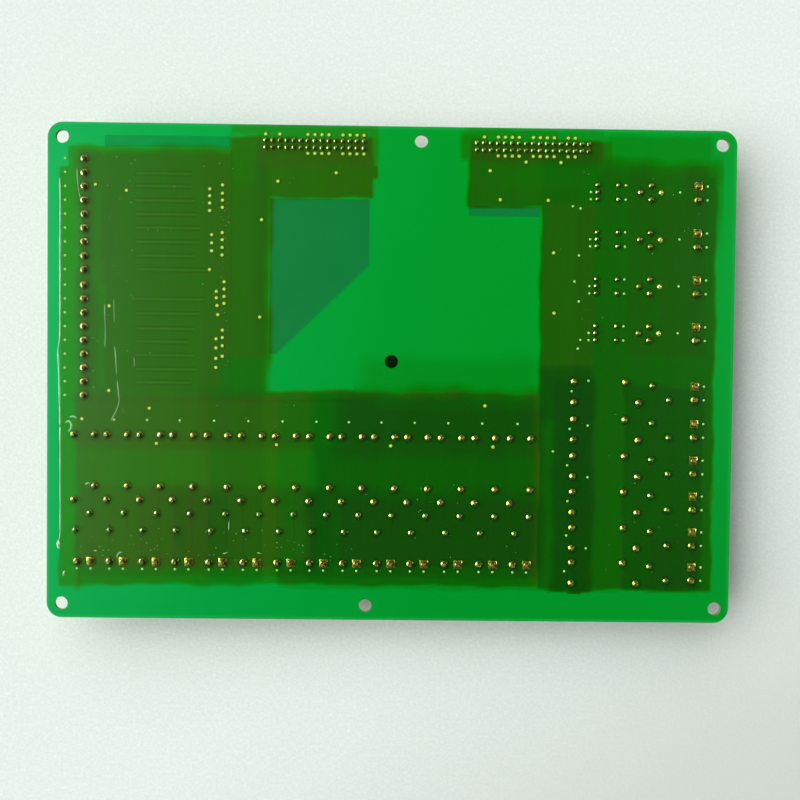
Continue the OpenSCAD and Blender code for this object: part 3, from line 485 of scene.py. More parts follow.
later_passes = [
    [33, 66.2, 9, 97, 4, 0.03, 0.0],
    [12, 50, 99, 165, 3, 0.04, -0.02],
    [50, 84, 99, 165, 3, 0.04, 0.3],
    [56, 66.2, 9, 97, 2, 0.08, 0.0],
    [66.2, 80, 9, 97, 1, 0.0, -0.08],
    [66.2, 75.5, 3, 21, 1, -0.14, 0.0],
    [75.5, 80.6, 14, 84, 4, 0.12, -0.1],
    [62, 80.6, 84, 97, 2, -0.16, -0.25],
    [76.4, 82, 6.5, 12, 2, 0.12, 0.0],
    [75.5, 118.6, 5, 15, 2, 0.12, 0.1],
    [152.5, 204, 5, 12.4, 2.2, 0.3, 0.15],
    [184, 203, 0, 4.4, 1.4, -0.12, 0.0],
    [164, 200, 14, 22, 2, -0.1, 0.0],
    [180, 198.5, 27, 92, 1, 0.08, 0.2],
    [192, 198.5, 27, 92, 1.5, 0.12, 0.0],
    [180, 198.5, 86, 106, 4, 0.5, -0.3],
    [185, 198.6, 92, 170.6, 5, 0.9, -0.3],
    [191.5, 198.8, 104, 170.6, 3, 0.76, 0.05],
    [210.5, 239.6, 13, 82, 1.4, 0.16, 0.05],
    [223, 239.6, 13, 82, 2, 0.06, 0.03],
    [219, 231, 13, 24, 5, -0.2, 0.0],
    [210.5, 239.6, 93.5, 168, 1.4, 0.45, -0.08],
    [220, 238, 148, 168.4, 3, 0.3, 0.0],
    [55, 107, 97, 117.5, 4, 0.14, -0.1],
    [107, 180, 97, 117.5, 10, 0.86, 0.0],
    [120, 180, 97, 103, 2, -0.25, 0.0],
    [50, 100, 97, 168, 10, 0.0, -0.3],
    [82, 104, 158, 170, 4, 0.0, -0.35],
    [97, 179, 96, 171, 8, 0.0, -0.72],
    [12, 58, 118, 131.5, 1.8, -0.24, 0.2],
    [58, 98, 118, 131.5, 1.8, -0.12, -0.1],
    [98, 181, 117, 131.5, 3, 0.3, 0.0],
    [33, 66, 132, 161, 5, 0.14, -0.1],
    [46, 98, 132, 161, 8, 0.26, -0.2],
    [94, 181, 132, 161.3, 5, 0.7, 0.0],
    [107, 178.4, 136, 160, 3, 0.4, 0.0],
    [12, 84, 161.5, 169, 1.5, -0.24, -0.4],
    [84, 180, 161.5, 164.6, 1.5, 0.3, 0.0],
    [12.6, 16, 14, 96, 1.5, 0.2, 0.0],
    [17, 19, 24, 60, 1.4, -0.2, 0.0],
    [18.4, 20.6, 58, 96, 1.4, -0.24, 0.0],
    [20.8, 23, 20, 96, 1.8, 0.14, 0.0],
    [9, 116, 99.2, 100.6, 0.8, 0.22, 0.0],
    [9, 96, 114, 115.4, 0.8, 0.24, 0.0],
    [12, 84, 164.6, 170, 1.2, -0.2, 0.0],
]
# The first passes lay the film, and the thickest one at a place sets how amber it is there. The
# later ones add to what lies there, or take from it, so none of them reaches the bare board.
film_u = np.arange(3.6, 246, FILM_STEP)
film_v = np.arange(0.15, 171, FILM_STEP)
film_v, film_u = np.meshgrid(film_v, film_u, indexing="ij")
coat = np.zeros_like(film_u)
amber = np.zeros_like(film_u)
for seed, (*sides_and_softness, amount, tint) in enumerate(first_passes):
    cover = pass_cover(film_u, film_v, *sides_and_softness, seed)
    amber = np.where(amount * cover > coat, tint, amber)
    coat = np.maximum(coat, amount * cover)
FIRST_LATER_SEED = 40
for seed, (*sides_and_softness, amount, tint) in enumerate(later_passes, FIRST_LATER_SEED):
    cover = pass_cover(film_u, film_v, *sides_and_softness, seed) * (coat > NO_FILM)
    coat = coat + amount * cover
    amber = amber + tint * cover
film_x, film_y = on_board(film_u, film_v)
film_z = top + (FILM_FOOT + FILM_BUILD * np.clip(coat, 0, 1.5)) * mm
film_faces = grid_faces(*film_u.shape)[:, ::-1]
film_faces = film_faces[(coat.ravel()[film_faces] > NO_FILM).any(axis=1)]
used = np.unique(film_faces)
renumber = np.zeros(film_u.size, int)
renumber[used] = np.arange(used.size)

varnish = Finish("brushed_varnish")
streaks = varnish.place.noise(0.0011, stretch=(1, 0.04, 1), detail=3)
strokes = varnish.place.noise(0.006, stretch=(1, 0.12, 1), detail=2)
build = varnish.measure("coat") * (0.8 + streaks * 0.2 + strokes * 0.2)
amber_tint = varnish.measure("amber").step(0, 1)
varnish.set({
    "Base Color": amber_tint.blend((0.006, 0.075, 0.002, 1), (0.1, 0.08, 0.004, 1)),
    "Roughness": 0.17 + streaks * 0.12,
    "Specular Tint": (0.85, 1.0, 0.9, 1.0),
    "Normal": (streaks * 0.25 + strokes).bump(0.00004, 0.5),
})
# The share of green light that passes falls with the build from 1 to DEEP_GREEN. A thin coat is
# straw coloured and lets THIN_GREEN through, and a deep one is olive. As the build grows, less is
# seen through the film and more of it is lit itself.
THIN_GREEN, DEEP_GREEN = 0.86, 0.5
GREEN_LOSS, VEIL_GROWTH = 0.68, 0.35
passing = DEEP_GREEN + varnish.paint.math("EXPONENT", build * -GREEN_LOSS) * (1 - DEEP_GREEN)
thin_share = ((1 - passing) / (1 - THIN_GREEN)).least(1)
deep_share = ((THIN_GREEN - passing) / (THIN_GREEN - DEEP_GREEN)).most(0)
clear = varnish.paint.add("ShaderNodeBsdfTransparent")
straw_glass = {"Color": (0.94, THIN_GREEN, 0.32, 1)}
olive_glass = {"Color": (0.45, DEEP_GREEN, 0.02, 1)}
straw = varnish.paint.add("ShaderNodeBsdfTransparent", None, straw_glass)
olive = varnish.paint.add("ShaderNodeBsdfTransparent", None, olive_glass)
through = varnish.mix_shaders(deep_share, varnish.mix_shaders(thin_share, clear, straw), olive)
veil = 1 - varnish.paint.math("EXPONENT", build * -VEIL_GROWTH)
varnish.show(varnish.mix_shaders(veil, through, varnish.body()))
film_points = np.stack([film_x, film_y, film_z], axis=-1).reshape(-1, 3)[used]
film = make_mesh("protective_film", film_points, renumber[film_faces].tolist(), varnish.material)


def note(piece, name, values):
    """Keeps one number per point of a piece, for its finish to measure."""
    layer = piece.data.attributes.new(name, "FLOAT", "POINT")
    layer.data.foreach_set("value", np.ascontiguousarray(values, float).ravel())


note(film, "coat", np.clip(coat, 0, 2).ravel()[used])
note(film, "amber", np.clip(amber, 0, 2).ravel()[used])
carry(film)
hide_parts("coating")


# ---- Varnish beads and runs ----
# Where the brush loaded with varnish met an edge, or ran between two rows of pins, the varnish
# stands up in thin glossy ridges that catch the window.
# In millimetres, the distance between a ridge's points, the length of the swell at its ends and
# the height of its foot.
RIDGE_STEP, RIDGE_END, RIDGE_FOOT = 0.5, 1.2, 0.04


def ridge_points(path, width, height, sides=7):
    """A soft ridge along a path: half width * a across it and height * (1 + cos 180a) / 2 above it,
    with a from -1 to 1. Both sizes swell as the square root of the distance from its ends."""
    path = np.asarray(path, float)
    along = np.concatenate([[0], np.cumsum(np.hypot(*np.diff(path, axis=0).T))])
    length = along[-1]
    t = np.linspace(0, length, max(int(length / RIDGE_STEP), 8))
    u, v = (np.interp(t, along, path[:, k]) for k in (0, 1))
    smooth = np.ones(5) / 5
    u[2:-2], v[2:-2] = np.convolve(u, smooth, "valid"), np.convolve(v, smooth, "valid")
    du, dv = np.gradient(u), np.gradient(v)
    du, dv = du / np.hypot(du, dv), dv / np.hypot(du, dv)
    swell = np.sqrt(np.clip(np.minimum(t, length - t) / RIDGE_END, 0.02, 1))
    swell = swell * (0.85 + 0.15 * np.sin(t / 1.7))
    a = np.linspace(-1, 1, sides)
    across = width / 2 * a * swell[:, None]
    x, y = on_board(u[:, None] - dv[:, None] * across, v[:, None] + du[:, None] * across)
    z = top + (RIDGE_FOOT + height * (1 + np.cos(np.pi * a)) / 2 * swell[:, None]) * mm
    return np.stack([x, y, np.broadcast_to(z, x.shape)], axis=-1)


# Paths in millimetres from the board's corner, then the width and height of each ridge.
ridges = [
    (
        [[4.4, 20], [4.6, 30], [4.5, 48], [4.6, 66], [4.5, 79], [3.8, 82.4], [4.2, 90], [4.7, 110]],
        0.6,
        0.22,
    ),
    ([[4.7, 110], [4.8, 125], [4.9, 140], [4.9, 149.5], [4.4, 152]], 0.6, 0.2),
    ([[4.2, 151.6], [4.1, 153.6], [4.5, 155]], 1.3, 0.3),
    ([[6.5, 162.8], [6.0, 164.8]], 1.1, 0.3),
    ([[10.6, 16.5], [10.7, 21], [11.4, 26], [12.2, 28.5]], 0.32, 0.12),
    ([[20.8, 65.4], [20.8, 70], [21, 76], [20.9, 81.5]], 0.3, 0.12),
    ([[24, 63.4], [24.2, 72.4]], 0.22, 0.1),
    ([[24.4, 80.7], [24.8, 85], [25.1, 91.1]], 0.34, 0.13),
    ([[25.3, 93], [25.8, 97], [26.2, 101], [24.8, 105], [23, 108]], 0.34, 0.13),
    ([[31.4, 84.2], [31.6, 88.4]], 0.25, 0.1),
    ([[6.6, 109], [7.4, 107.8], [8.6, 108.4], [9, 110.6], [7.6, 112.2]], 0.7, 0.22),
    ([[8, 106.8], [9.6, 106.2], [10.8, 107.2]], 0.7, 0.22),
    ([[13.8, 131.4], [14.6, 130.6], [15.6, 130.8]], 0.7, 0.22),
    ([[16.9, 155.4], [18.2, 155.5]], 1.0, 0.26),
    ([[25.4, 158.4], [26, 155.8], [27.6, 156]], 0.55, 0.22),
    ([[66.4, 144], [66.2, 147.6]], 0.5, 0.16),
    ([[64, 156.2], [66, 155.6]], 0.7, 0.22),
    ([[76.6, 155.6], [78.2, 156]], 0.7, 0.22),
]
runs = Finish("varnish_ridges_painted_highlight")
run_ripple = runs.place.noise(0.0012, detail=1)
# Painted highlight: the ridges' pale green-white colour stands in for the window's glint along each
# ridge. Their gloss is real.
runs.set({
    "Base Color": colour(176, 236, 178),
    "Roughness": 0.1,
    "IOR": 1.7,
    "Alpha": 0.4 + run_ripple * 0.6,
    "Normal": run_ripple.bump(0.00006, 0.4),
})
ridge_meshes = [ridge_points(*ridge) for ridge in ridges]
firsts = np.cumsum([0] + [part.shape[0] * part.shape[1] for part in ridge_meshes])
ridge_faces = [grid_faces(*part.shape[:2]) + first for part, first in zip(ridge_meshes, firsts)]
bead = make_mesh(
    "varnish_beads",
    np.concatenate([part.reshape(-1, 3) for part in ridge_meshes]),
    np.concatenate(ridge_faces).tolist(),
    runs.material,
)
carry(bead)


# ---- Vias ----
# Copper plated holes that join the two faces, closed by the mask and the varnish. The wide ones
# were left gold, and the narrow ones took up solder.
def solids(node):
    """Lowest and highest corners of a node's separate solids, and how far each reaches from its
    middle, as the sum of x and y. Corners that fall together are joined, and the lowest number
    spreads over each face, until every solid has one number."""
    mesh = nodes[node].data
    points = np.empty(len(mesh.vertices) * 3)
    mesh.vertices.foreach_get("co", points)
    points = points.reshape(-1, 3)
    corners = np.empty(len(mesh.loops), int)
    mesh.loops.foreach_get("vertex_index", corners)
    same = np.unique(np.round(points * 1e6).astype(int), axis=0, return_inverse=True)[1].ravel()
    faces = same[corners].reshape(-1, 3)
    label = np.arange(same.max() + 1)
    while True:
        spread = label.copy()
        np.minimum.at(spread, faces.ravel(), np.repeat(label[faces].min(axis=1), 3))
        spread = spread[spread]
        if (spread == label).all():
            break
        label = spread
    which = np.unique(label[same], return_inverse=True)[1].ravel()
    count = which.max() + 1
    low, high = np.full((count, 3), np.inf), np.full((count, 3), -np.inf)
    np.minimum.at(low, which, points)
    np.maximum.at(high, which, points)
    away = np.abs(points[:, :2] - ((low + high) / 2)[which, :2]).sum(axis=1)
    reach = np.zeros(count)
    np.maximum.at(reach, which, away)
    return low, high, reach


def turned(spots, radius, rise, profile, sides, ripple=0.0, lean=0.0, seed=1):
    """Copies of a closed turned shape on the board. A point is its spot, plus its radius times the
    profile's share of it times (1 + ripple * sin(2a + phase)) round the spot, plus its lean times
    its height. The profile runs from the middle of the foot to the middle of the top."""
    chance = np.random.default_rng(seed)
    count = len(spots)
    r, z = np.asarray(profile, float).T
    a = np.linspace(0, 2 * np.pi, sides, endpoint=False)
    phase = chance.uniform(0, 2 * np.pi, (count, 1, 1))
    tip = chance.normal(0, lean, (count, 2, 1, 1))
    swell = 1 + ripple * np.sin(2 * a + phase)
    out = np.asarray(radius).reshape(-1, 1, 1) * r[1:-1, None] * swell
    up = np.broadcast_to(np.asarray(rise).reshape(-1, 1, 1) * z[1:-1, None], out.shape)
    rings = np.stack(
        [
            spots[:, 0, None, None] + out * np.cos(a) + tip[:, 0] * up,
            spots[:, 1, None, None] + out * np.sin(a) + tip[:, 1] * up,
            top + up,
        ],
        axis=-1,
    ).reshape(count, -1, 3)
    poles = np.empty((count, 2, 3))
    poles[:, :, 0] = spots[:, 0, None]
    poles[:, :, 1] = spots[:, 1, None]
    poles[:, :, 2] = top + np.asarray(rise).reshape(-1, 1) * z[[0, -1]]
    points = np.concatenate([rings, poles], axis=1)
    size = points.shape[1]
    quads = grid_faces(len(r) - 2, sides, closed=True)
    ring = np.arange(sides)
    after = (ring + 1) % sides
    foot = np.stack([np.full(sides, size - 2), after, ring], axis=1)
    last = (len(r) - 3) * sides
    cap = np.stack([np.full(sides, size - 1), last + ring, last + after], axis=1)
    shift = (np.arange(count) * size)[:, None, None]
    faces = (quads + shift).reshape(-1, 4).tolist()
    faces += (foot + shift).reshape(-1, 3).tolist() + (cap + shift).reshape(-1, 3).tolist()
    return points, faces


via_low, via_high, _ = solids("via_plating")
via_spots = (via_low + via_high)[:, :2] / 2
via_radius = (via_high - via_low)[:, 0] / 2
WIDE_VIA = 0.5 * mm
VIA_RISE = 0.24 * mm
wide = via_radius > WIDE_VIA
gold_profile = [[0, 0], [1.25, 0], [1.25, 0.55], [0.9, 0.66], [0.7, 0.95], [0.35, 1], [0, 1]]
tinned_profile = [[0, 0], [1, 0], [1, 0.55], [0.8, 0.85], [0.4, 1], [0, 1]]

gilt = Finish("gold_via_caps")
gilt_wear = gilt.place.noise(0.003, detail=2)
gilt_bright = gilt_wear.blend(colour(166, 214, 60), colour(192, 242, 92))
gilt_cap = gilt.z.step(top + VIA_RISE * 0.6, top + VIA_RISE * 0.8)
gilt.set({
    "Base Color": gilt_cap.blend(colour(74, 74, 8), gilt_bright),
    "Roughness": 0.3,
    "Specular IOR Level": 0.15,
})
# Painted highlight: the narrow vias' solder is drawn in a pale green, non-metal colour that stands
# in for the glint on each small dome.
tinned = Finish("soldered_via_caps_painted_glint")
tinned_wear_and_glint = tinned.place.noise(0.003, detail=2)
tinned.set({
    "Base Color": tinned_wear_and_glint.blend(colour(120, 214, 90), colour(196, 246, 160)),
    "Roughness": 0.25,
    "Specular IOR Level": 0.2,
})
for name, these, profile, paint, sides in (
    ("gold_vias", wide, gold_profile, gilt.material, 12),
    ("soldered_vias", ~wide, tinned_profile, tinned.material, 10),
):
    points, faces = turned(via_spots[these], via_radius[these], VIA_RISE, profile, sides)
    piece = carry(make_mesh(name, points, faces, paint))
    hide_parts("via_plating")


# ---- Varnish bubbles ----
# Small bubbles and dust dried into the varnish, most of them between the relay leads, where the
# brush was dabbed. Each is a flat glossy dome.
BUBBLE_RISE = 0.2 * mm
bubble_chance = np.random.default_rng(11)
bubble_places = []
# left, right, upper, lower edge of a patch of bubbles, and how many
for left, right, upper, lower, count in (
    (14, 32, 10, 96, 26),
    (28, 66, 12, 96, 22),
    (62.5, 65.5, 26, 92, 22),
    (14, 110, 98, 112, 10),
    (26, 112, 147, 160, 64),
    (12, 30, 150, 160, 14),
    (112, 175, 130, 160, 16),
    (66, 118, 14, 24, 4),
    (180, 238, 14, 90, 16),
    (186, 236, 94, 166, 14),
):
    bubble_places.append(bubble_chance.uniform((left, upper), (right, lower), (count, 2)))
bubble_places = np.concatenate(bubble_places)
bubble_spots = np.stack(on_board(bubble_places[:, 0], bubble_places[:, 1]), axis=1)
bubble_radius = bubble_chance.uniform(0.07, 0.16, len(bubble_spots)) * mm
bubble_painted_highlight = Finish("bubble_painted_highlight")
bubble_glint_and_wear = bubble_painted_highlight.place.noise(0.002, detail=1)
# Painted highlight: the bubbles' pale colour is mostly a stand-in for the glint on each small dome.
bubble_painted_highlight.set({
    "Base Color": bubble_glint_and_wear.blend(colour(110, 200, 90), colour(210, 250, 196)),
    "Roughness": 0.12,
    "Specular IOR Level": 0.25,
})
bubble_profile = [[0, 0], [1, 0], [1, 0.62], [0.6, 0.94], [0, 1]]
points, faces = turned(bubble_spots, bubble_radius, BUBBLE_RISE, bubble_profile, 7)
carry(make_mesh("varnish_bubbles", points, faces, bubble_painted_highlight.material))


# ---- Solder joints ----
# Tin and lead solder, left by the wave as a low dome on the pad with a neck drawn up the lead. It
# holds each lead in its hole. Amber varnish hides most of it. Bright metal is painted on the flank
# that faces the lamps on the left and, less, on the upper right flank: a painted highlight.
def solder_finish(name, skin, brown, bright, thick=0.42):
    """Varnish over metal: skin where it is thick, brown metal where it is thin, and bright metal as
    a painted highlight. Metal shows where the measure "bare", the painted highlight's share, plus a
    blotchy noise passes thick, and is bright some way past it."""
    finish = Finish(name)
    blotch = finish.place.noise(0.0009, detail=2)
    grain = finish.place.noise(0.0005, detail=2)
    bare = finish.measure("bare") + (blotch - 0.5) * 1.1
    metal = bare.step(thick, thick + 0.22)
    metal_colour = bare.step(thick + 0.25, thick + 0.6).blend(brown, bright)
    finish.set({
        "Base Color": metal.blend(skin, metal_colour),
        "Metallic": metal,
        "Roughness": 0.14 + metal * 0.12 + grain * 0.12,
        "Specular IOR Level": 0.2,
        "Specular Tint": (0.7, 1.0, 0.4, 1.0),
        "Normal": grain.bump(0.00003, 0.5),
    })
    return finish.material


def painted_glint_share(points, spots, radius):
    """The painted highlight's share at each point of a joint: the larger of cos(a - 175) and
    0.6 * cos(a - 50), with a the direction from the joint's middle in degrees, falling off at the
    rim and to the lead. It is most on the flank that faces the lamps on the left."""
    away = points[..., :2] - spots[:, None]
    reach = np.hypot(away[..., 0], away[..., 1]) / radius[:, None]
    a = np.degrees(np.arctan2(away[..., 1], away[..., 0]))
    flank = np.maximum(np.cos(np.radians(a - 175)), 0.6 * np.cos(np.radians(a - 50)))
    return np.clip(flank, 0, 1) * np.clip((1.08 - reach) * 5, 0, 1) * np.clip(reach * 6, 0, 1)


# Each finish takes its skin colour, its brown metal, its painted highlight colour, and how thin the
# varnish must be before metal shows.
brown_solder = solder_finish(
    "solder_in_brown_flux", colour(58, 92, 34), colour(116, 98, 48), colour(190, 212, 140), 0.3
)
gold_solder = solder_finish(
    "solder_under_amber", colour(34, 78, 12), colour(104, 92, 36), colour(196, 204, 116)
)
green_solder = solder_finish(
    "solder_under_green", colour(22, 76, 10), colour(70, 96, 36), colour(172, 204, 124)
)
dark_solder = solder_finish(
    "solder_among_pins", colour(52, 76, 14), colour(80, 96, 34), colour(150, 196, 110), 0.46
)
spare_solder = solder_finish(
    "solder_on_spare_pads", colour(150, 160, 76), colour(170, 172, 84), colour(196, 200, 112)
)

# node, joint's piece, pin's share of the radius, sides, finish
joint_kinds = [
    ("header_solder", "header_joints", 0.46, 10, dark_solder),
    ("terminal_solder", "terminal_joints", 0.47, 12, brown_solder),
    ("relay_solder", "relay_joints", 0.33, 12, gold_solder),
    ("varistor_solder", "varistor_joints", 0.34, 12, green_solder),
    ("output_solder", "output_joints", 0.54, 12, gold_solder),
    ("opto_triac_solder", "opto_triac_joints", 0.33, 10, green_solder),
    ("triac_solder", "triac_joints", 0.45, 12, gold_solder),
]
collar_spots, collar_radius = [], []
# A joint climbs from its rim at these slopes up to its neck, which clasps the lead. The neck is
# wider than the lead at its foot and at its tip, and its tip stands a little past the CAD joint's
# top. A spare pad, which holds no lead, has a plain low dome instead.
JOINT_SLOPES = np.tan(np.radians((38, 25, 15)))
NECK_FOOT, NECK_TIP, NECK_TOP = 1.22, 1.06, 1.1
joint_spread = np.array([1, 0.66, 0.3, 0])
spare_dome = [[0, 0], [1, 0], [0.92, 0.3], [0.68, 0.72], [0.3, 0.97], [0, 1]]
for seed, (node, name, pin, sides, paint) in enumerate(joint_kinds):
    low, high, reach = solids(node)
    spots = (low + high)[:, :2] / 2
    radius = (high - low)[:, 0] / 2
    rise = (high - low)[:, 2]
    spare = rise < rise.max() * 0.9
    joint = spots[~spare], radius[~spare]
    if node != "header_solder":
        collar_spots.append(joint[0])
        collar_radius.append(joint[1])
    neck = pin * NECK_FOOT
    reach_out = neck + (1 - neck) * joint_spread
    climb = np.cumsum(-np.diff(reach_out) * JOINT_SLOPES) * radius.mean() / rise.max()
    tip = [[pin * NECK_TIP, NECK_TOP], [0, NECK_TOP]]
    cone = [[0, 0], [1, 0], *zip(reach_out[1:], climb), *tip]
    points, faces = turned(*joint, rise[~spare], cone, sides, ripple=0.05, lean=0.06, seed=seed)
    piece = carry(make_mesh(name, points, faces, paint, crease=50))
    # The measure "bare" holds the painted highlight's share.
    note(piece, "bare", painted_glint_share(points, *joint))
    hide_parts(node)
    if spare.any():
        pad = spots[spare], radius[spare]
        points, faces = turned(*pad, rise[spare], spare_dome, 16, ripple=0.03, seed=seed)
        piece = carry(make_mesh("spare_pad_solder", points, faces, spare_solder))
        # A spare pad's dome shows metal nearly all over, painted brighter on the flanks towards the
        # lamps.
        note(piece, "bare", 0.5 + painted_glint_share(points, *pad) * 0.5)
        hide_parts(node)
    if node == "output_solder":
        # A joint on a square pad reaches farther towards its corners than a round one.
        square_spots = spots[reach > reach.min() * 1.2]

# ---- Square pads ----
# One pad of each output connector is square, to mark the first post. It is gold plated copper,
# part of the board, and its corners stand out from under the solder.
PAD_HALF = 1.5 * mm
pad_gold = Finish("gold_pad")
pad_wear = pad_gold.place.noise(0.0006, detail=2)
pad_gold.set({
    "Base Color": pad_wear.step(0.35, 0.65).blend(colour(84, 84, 20), colour(180, 168, 70)),
    "Metallic": 0.6,
    "Roughness": 0.2,
    "Specular IOR Level": 0.2,
    "Normal": pad_wear.bump(0.00003, 0.5),
})
# The pad's square rises straight through the film, then slopes up to the joint as the solder does.
# Each ring of four corners has a share of the foot's size and a height in millimetres.
square_foot = np.array([[-1, -1], [1, -1], [1, 1], [-1, 1]]) * PAD_HALF
pad_share, pad_lift = np.array([(1, 0), (1, 0.1), (0.92, 0.17), (0.8, 0.22), (0.6, 0.24)]).T
pad_points = np.zeros((len(square_spots), len(pad_share), 4, 3))
pad_points[..., :2] = square_spots[:, None, None] + square_foot * pad_share[:, None, None]
pad_points[..., 2] = top + pad_lift[:, None] * mm
pad_foot = np.arange(4)[::-1]
pad_top = 4 * (len(pad_share) - 1) + np.arange(4)
pad_faces = np.concatenate([grid_faces(len(pad_share), 4, closed=True), [pad_foot, pad_top]])
pad_firsts = np.arange(len(square_spots)) * 4 * len(pad_share)
pad_faces = (pad_faces + pad_firsts[:, None, None]).reshape(-1, 4).tolist()
carry(make_mesh("square_pads", pad_points, pad_faces, pad_gold.material, crease=50))


# ---- Varnish collars ----
# Wet varnish draws up round each joint by itself, and dries into a glossy collar that thins
# outwards. Its dark colour is partly thicker varnish and partly painted shade round the joint's
# foot.
def collars(spots, radius, sides=14):
    """Four rings round each joint, at its radius plus beyond and at lift above the board: from just
    inside its rim, where the varnish stands highest, out to where it meets the film. fade is 1 at
    the joint and 0 at the outer ring."""
    a = np.linspace(0, 2 * np.pi, sides, endpoint=False)
    beyond = np.array([-0.12, 0.12, 0.45, 0.95]) * mm
    lift = np.array([0.17, 0.14, 0.115, 0.1]) * mm
    fade = np.array([1.0, 0.95, 0.45, 0.0])
    out = radius[:, None, None] + beyond[:, None] * np.ones(sides)
    x = spots[:, 0, None, None] + out * np.cos(a)
    y = spots[:, 1, None, None] + out * np.sin(a)
    z = np.broadcast_to(top + lift[:, None], x.shape)
    ring_faces = grid_faces(len(beyond), sides, closed=True)[:, ::-1]
    faces = ring_faces + (np.arange(len(spots)) * len(beyond) * sides)[:, None, None]
    fades = np.broadcast_to(fade[:, None], x.shape)
    return np.stack([x, y, z], axis=-1), faces.reshape(-1, 4).tolist(), fades.ravel()


collar = Finish("varnish_collar")
collar.set({
    "Base Color": colour(24, 44, 4),
    "Alpha": collar.measure("fade") * 0.2,
    "Roughness": 0.12,
})
collar_spots = np.concatenate(collar_spots)
collar_radius = np.concatenate(collar_radius)
points, faces, fades = collars(collar_spots, collar_radius)
collar_piece = make_mesh("varnish_collars", points, faces, collar.material)
note(collar_piece, "fade", fades)
carry(collar_piece)

# ---- Pins and leads ----
# Tin plated brass pins and copper leads, and gold plated pins in the ribbon headers, each held by
# its joint. Their ends are cut flat above the solder, where varnish darkens them, and they are
# bright below the board.
VARNISH_REACH = 0.6 * mm


def lead_finish(name, dark, pale):
    """Tinned metal, and mottled varnish on the cut end above the board."""
    finish = Finish(name)
    wear = finish.place.noise(0.0006, detail=2)
    varnished = finish.z.step(top - VARNISH_REACH, top)
    tin = wear.blend(colour(186, 184, 176), colour(226, 224, 216))
    finish.set({
        "Base Color": varnished.blend(tin, wear.step(0.35, 0.65).blend(dark, pale)),
        "Metallic": 1 - varnished * 0.7,
        "Roughness": 0.2 + wear * 0.2,
        "Specular IOR Level": 0.3,
    })
    return finish.material


dress(
    ["terminal_pins"],
    lead_finish("tinned_terminal_pin", colour(36, 40, 14), colour(96, 84, 40)),
)
dress(
    ["relay_pins", "varistor_leads", "output_posts", "opto_triac_legs", "triac_legs"],
    lead_finish("tinned_lead", colour(54, 70, 16), colour(150, 156, 76)),
)

header_gold = Finish("gold_header_pin")
header_wear = header_gold.place.noise(0.0008, detail=2)
header_varnished = header_gold.z.step(top - VARNISH_REACH, top)
header_bright = header_wear.blend(colour(204, 164, 64), colour(244, 216, 130))
header_dark = header_wear.step(0.35, 0.65).blend(colour(46, 66, 12), colour(140, 168, 84))
header_gold.set({
    "Base Color": header_varnished.blend(header_bright, header_dark),
    "Metallic": 1 - header_varnished * 0.7,
    "Roughness": 0.18 + header_wear * 0.15,
})
dress(["header_30_pins", "header_34_pins"], header_gold.material)


# ---- Ribbon headers ----
# Black glass filled polyester boxes, moulded with a keyed slot, that hold two rows of square pins.
# They stand against the board's underside and are held by the pins' joints.
def moulded(name, dark, light, roughness, grain_size=0.0004):
    """Moulded plastic: a fine spark-eroded grain, slow flow marks and a little dust."""
    finish = Finish(name)
    grain = finish.place.noise(grain_size, detail=2)
    flow = finish.place.noise(0.012, stretch=(1, 0.3, 1), detail=3)
    dust = finish.place.specks(0.004, 0.0004)
    finish.set({
        "Base Color": (flow * 0.8 + dust * 0.3).least(1).blend(dark, light),
        "Roughness": roughness + grain * 0.12 - flow * 0.06,
        "Normal": grain.bump(0.00003, 0.5),
    })
    return finish.material


dress(
    ["header_30_housing", "header_34_housing"],
    moulded("black_polyester", colour(22, 22, 24), colour(44, 44, 46), 0.42),
)

# ---- Terminal blocks ----
# Green polyamide housings with nine wire pockets each, soldered down by their pins. In each pocket
# a zinc plated steel cage is drawn up by a slotted screw.
dress(
    ["terminal_block_upper", "terminal_block_lower"],
    moulded("green_polyamide", colour(14, 104, 52), colour(30, 128, 68), 0.36),
)
zinc = Finish("zinc_plated_steel")
zinc_grain = zinc.place.noise(0.0009, detail=3)
zinc.set({
    "Base Color": zinc_grain.blend(colour(168, 168, 162), colour(214, 214, 206)),
    "Metallic": 1.0,
    "Roughness": 0.28 + zinc_grain * 0.2,
    "Normal": zinc_grain.bump(0.00003, 0.4),
})
dress(["terminal_cages", "terminal_screws"], zinc.material)

# ---- Relays ----
# Sealed relays in black polyester cases with bevelled edges, a shallow panel and a vent dimple.
# Fourteen stand in a row and six in a column, and their soldered pins hold them.
relay_case = moulded("black_relay_case", colour(20, 20, 22), colour(40, 40, 43), 0.38, 0.0006)
dress(relay_names, relay_case)

# ---- Varistors ----
# Zinc oxide discs dipped in blue epoxy, which runs a little way down the leads. Each hangs from its
# two soldered leads beside its relay.
dipped = Finish("dipped_blue_epoxy")
dip_waves = dipped.place.noise(0.003, detail=2)
dipped.set({
    "Base Color": dip_waves.blend(colour(26, 58, 140), colour(44, 84, 176)),
    "Roughness": 0.18 + dip_waves * 0.12,
    "Normal": dip_waves.bump(0.0003, 0.4),
})
dress(["varistors"], dipped.material)

# ---- Output connectors ----
# Two-post headers of natural white polyamide with a friction wall behind the posts, which are
# pressed in and soldered.
dress(
    ["output_connectors_row", "output_connectors_column", "output_connectors_triac"],
    moulded("white_polyamide", colour(222, 216, 200), colour(240, 236, 224), 0.4),
)

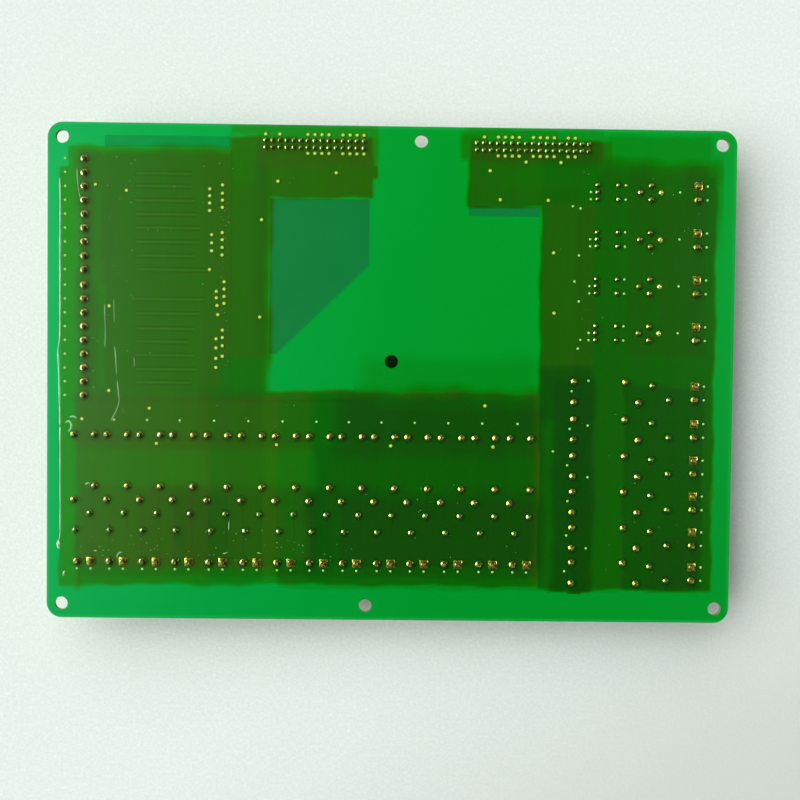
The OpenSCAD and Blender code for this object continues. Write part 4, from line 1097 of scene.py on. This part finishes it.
# ---- Triac channels ----
# White opto-triacs, six-legged cases with one leg cut off, drive flat black triacs. Those are
# moulded on a plated copper plate that shows at the back. Their soldered legs hold both.
dress(["opto_triacs"], moulded("white_epoxy", colour(220, 220, 212), colour(238, 238, 232), 0.5))
dress(["triacs"], moulded("black_epoxy", colour(24, 24, 25), colour(48, 48, 50), 0.5, 0.0003))
plate = Finish("plated_copper_plate")
plate_grain = plate.place.noise(0.0008, stretch=(1, 1, 0.1), detail=3)
plate.set({
    "Base Color": plate_grain.blend(colour(170, 168, 160), colour(205, 202, 194)),
    "Metallic": 1.0,
    "Roughness": 0.3 + plate_grain * 0.2,
})
dress(["triac_plates"], plate.material)

# ---- Chips ----
# Flat black chips with eight tinned legs a side, and small chip resistors, capacitors and lamps
# with tinned ends. All are soldered flat to the board's underside.
chip_black = moulded("black_chip_epoxy", colour(26, 26, 27), colour(50, 50, 52), 0.55, 0.0003)
dress(["input_couplers", "relay_drivers"], chip_black)
dress(["chip_legs", "chip_ends"], zinc.material)
dress(["chip_resistors"], moulded("black_glaze", colour(14, 14, 15), colour(30, 30, 31), 0.25))
dress(["chip_capacitors"], moulded("tan_ceramic", colour(150, 112, 66), colour(178, 140, 92), 0.35))
lamp_resin = moulded("clear_lamp_resin", colour(214, 214, 170), colour(236, 236, 200), 0.2)
dress(["status_lamps"], lamp_resin)


# ---- Printed outlines ----
# White epoxy ink, screen printed on the component side, frames each part's place. It lies on the
# mask, and no letters are printed.
INK_DEPTH = 0.012 * mm


def frames(lows, highs, line=0.2 * mm, clear=0.35 * mm):
    """Rectangular frames on the underside: one rectangle clear of the part all round, and one a
    line outside it, joined by four faces."""
    low, high = lows[:, :2] - clear, highs[:, :2] + clear
    rings = []
    for grow in (0, line):
        x0, y0 = (low - grow).T
        x1, y1 = (high + grow).T
        corners = np.array([[x0, x1, x1, x0], [y0, y0, y1, y1]])
        rings.append(corners.transpose(2, 1, 0))
    points = np.zeros((len(lows), 8, 3))
    points[:, :, :2] = np.concatenate(rings, axis=1)
    points[:, :, 2] = board_low[2] - INK_DEPTH
    faces = np.array([[k, (k + 1) % 4, 4 + (k + 1) % 4, 4 + k] for k in range(4)])
    return points, (faces + (np.arange(len(lows)) * 8)[:, None, None]).reshape(-1, 4).tolist()


framed_lows, framed_highs, _ = zip(*(solids(name) for name in (
    "output_connectors_row",
    "output_connectors_column",
    "output_connectors_triac",
    "opto_triacs",
    "triacs",
    "terminal_block_upper",
    "terminal_block_lower",
    "header_30_housing",
    "header_34_housing",
    "input_couplers",
    "relay_drivers",
)))
frame_lows = np.concatenate([relay_lows, *framed_lows])
frame_highs = np.concatenate([relay_highs, *framed_highs])
# The frame of a part that reaches past the board's left or lower edge stops short of that edge.
frame_lows[:, :2] = np.maximum(frame_lows[:, :2], np.array(board_low[:2]) + mm)
ink = Finish("white_ink")
ink_wear = ink.place.noise(0.0008, detail=2)
ink.set({
    "Base Color": ink_wear.blend(colour(205, 212, 200), colour(238, 240, 232)),
    "Roughness": 0.6,
})
points, faces = frames(frame_lows, frame_highs)
carry(make_mesh("printed_outlines", points, faces, ink.material, crease=20))
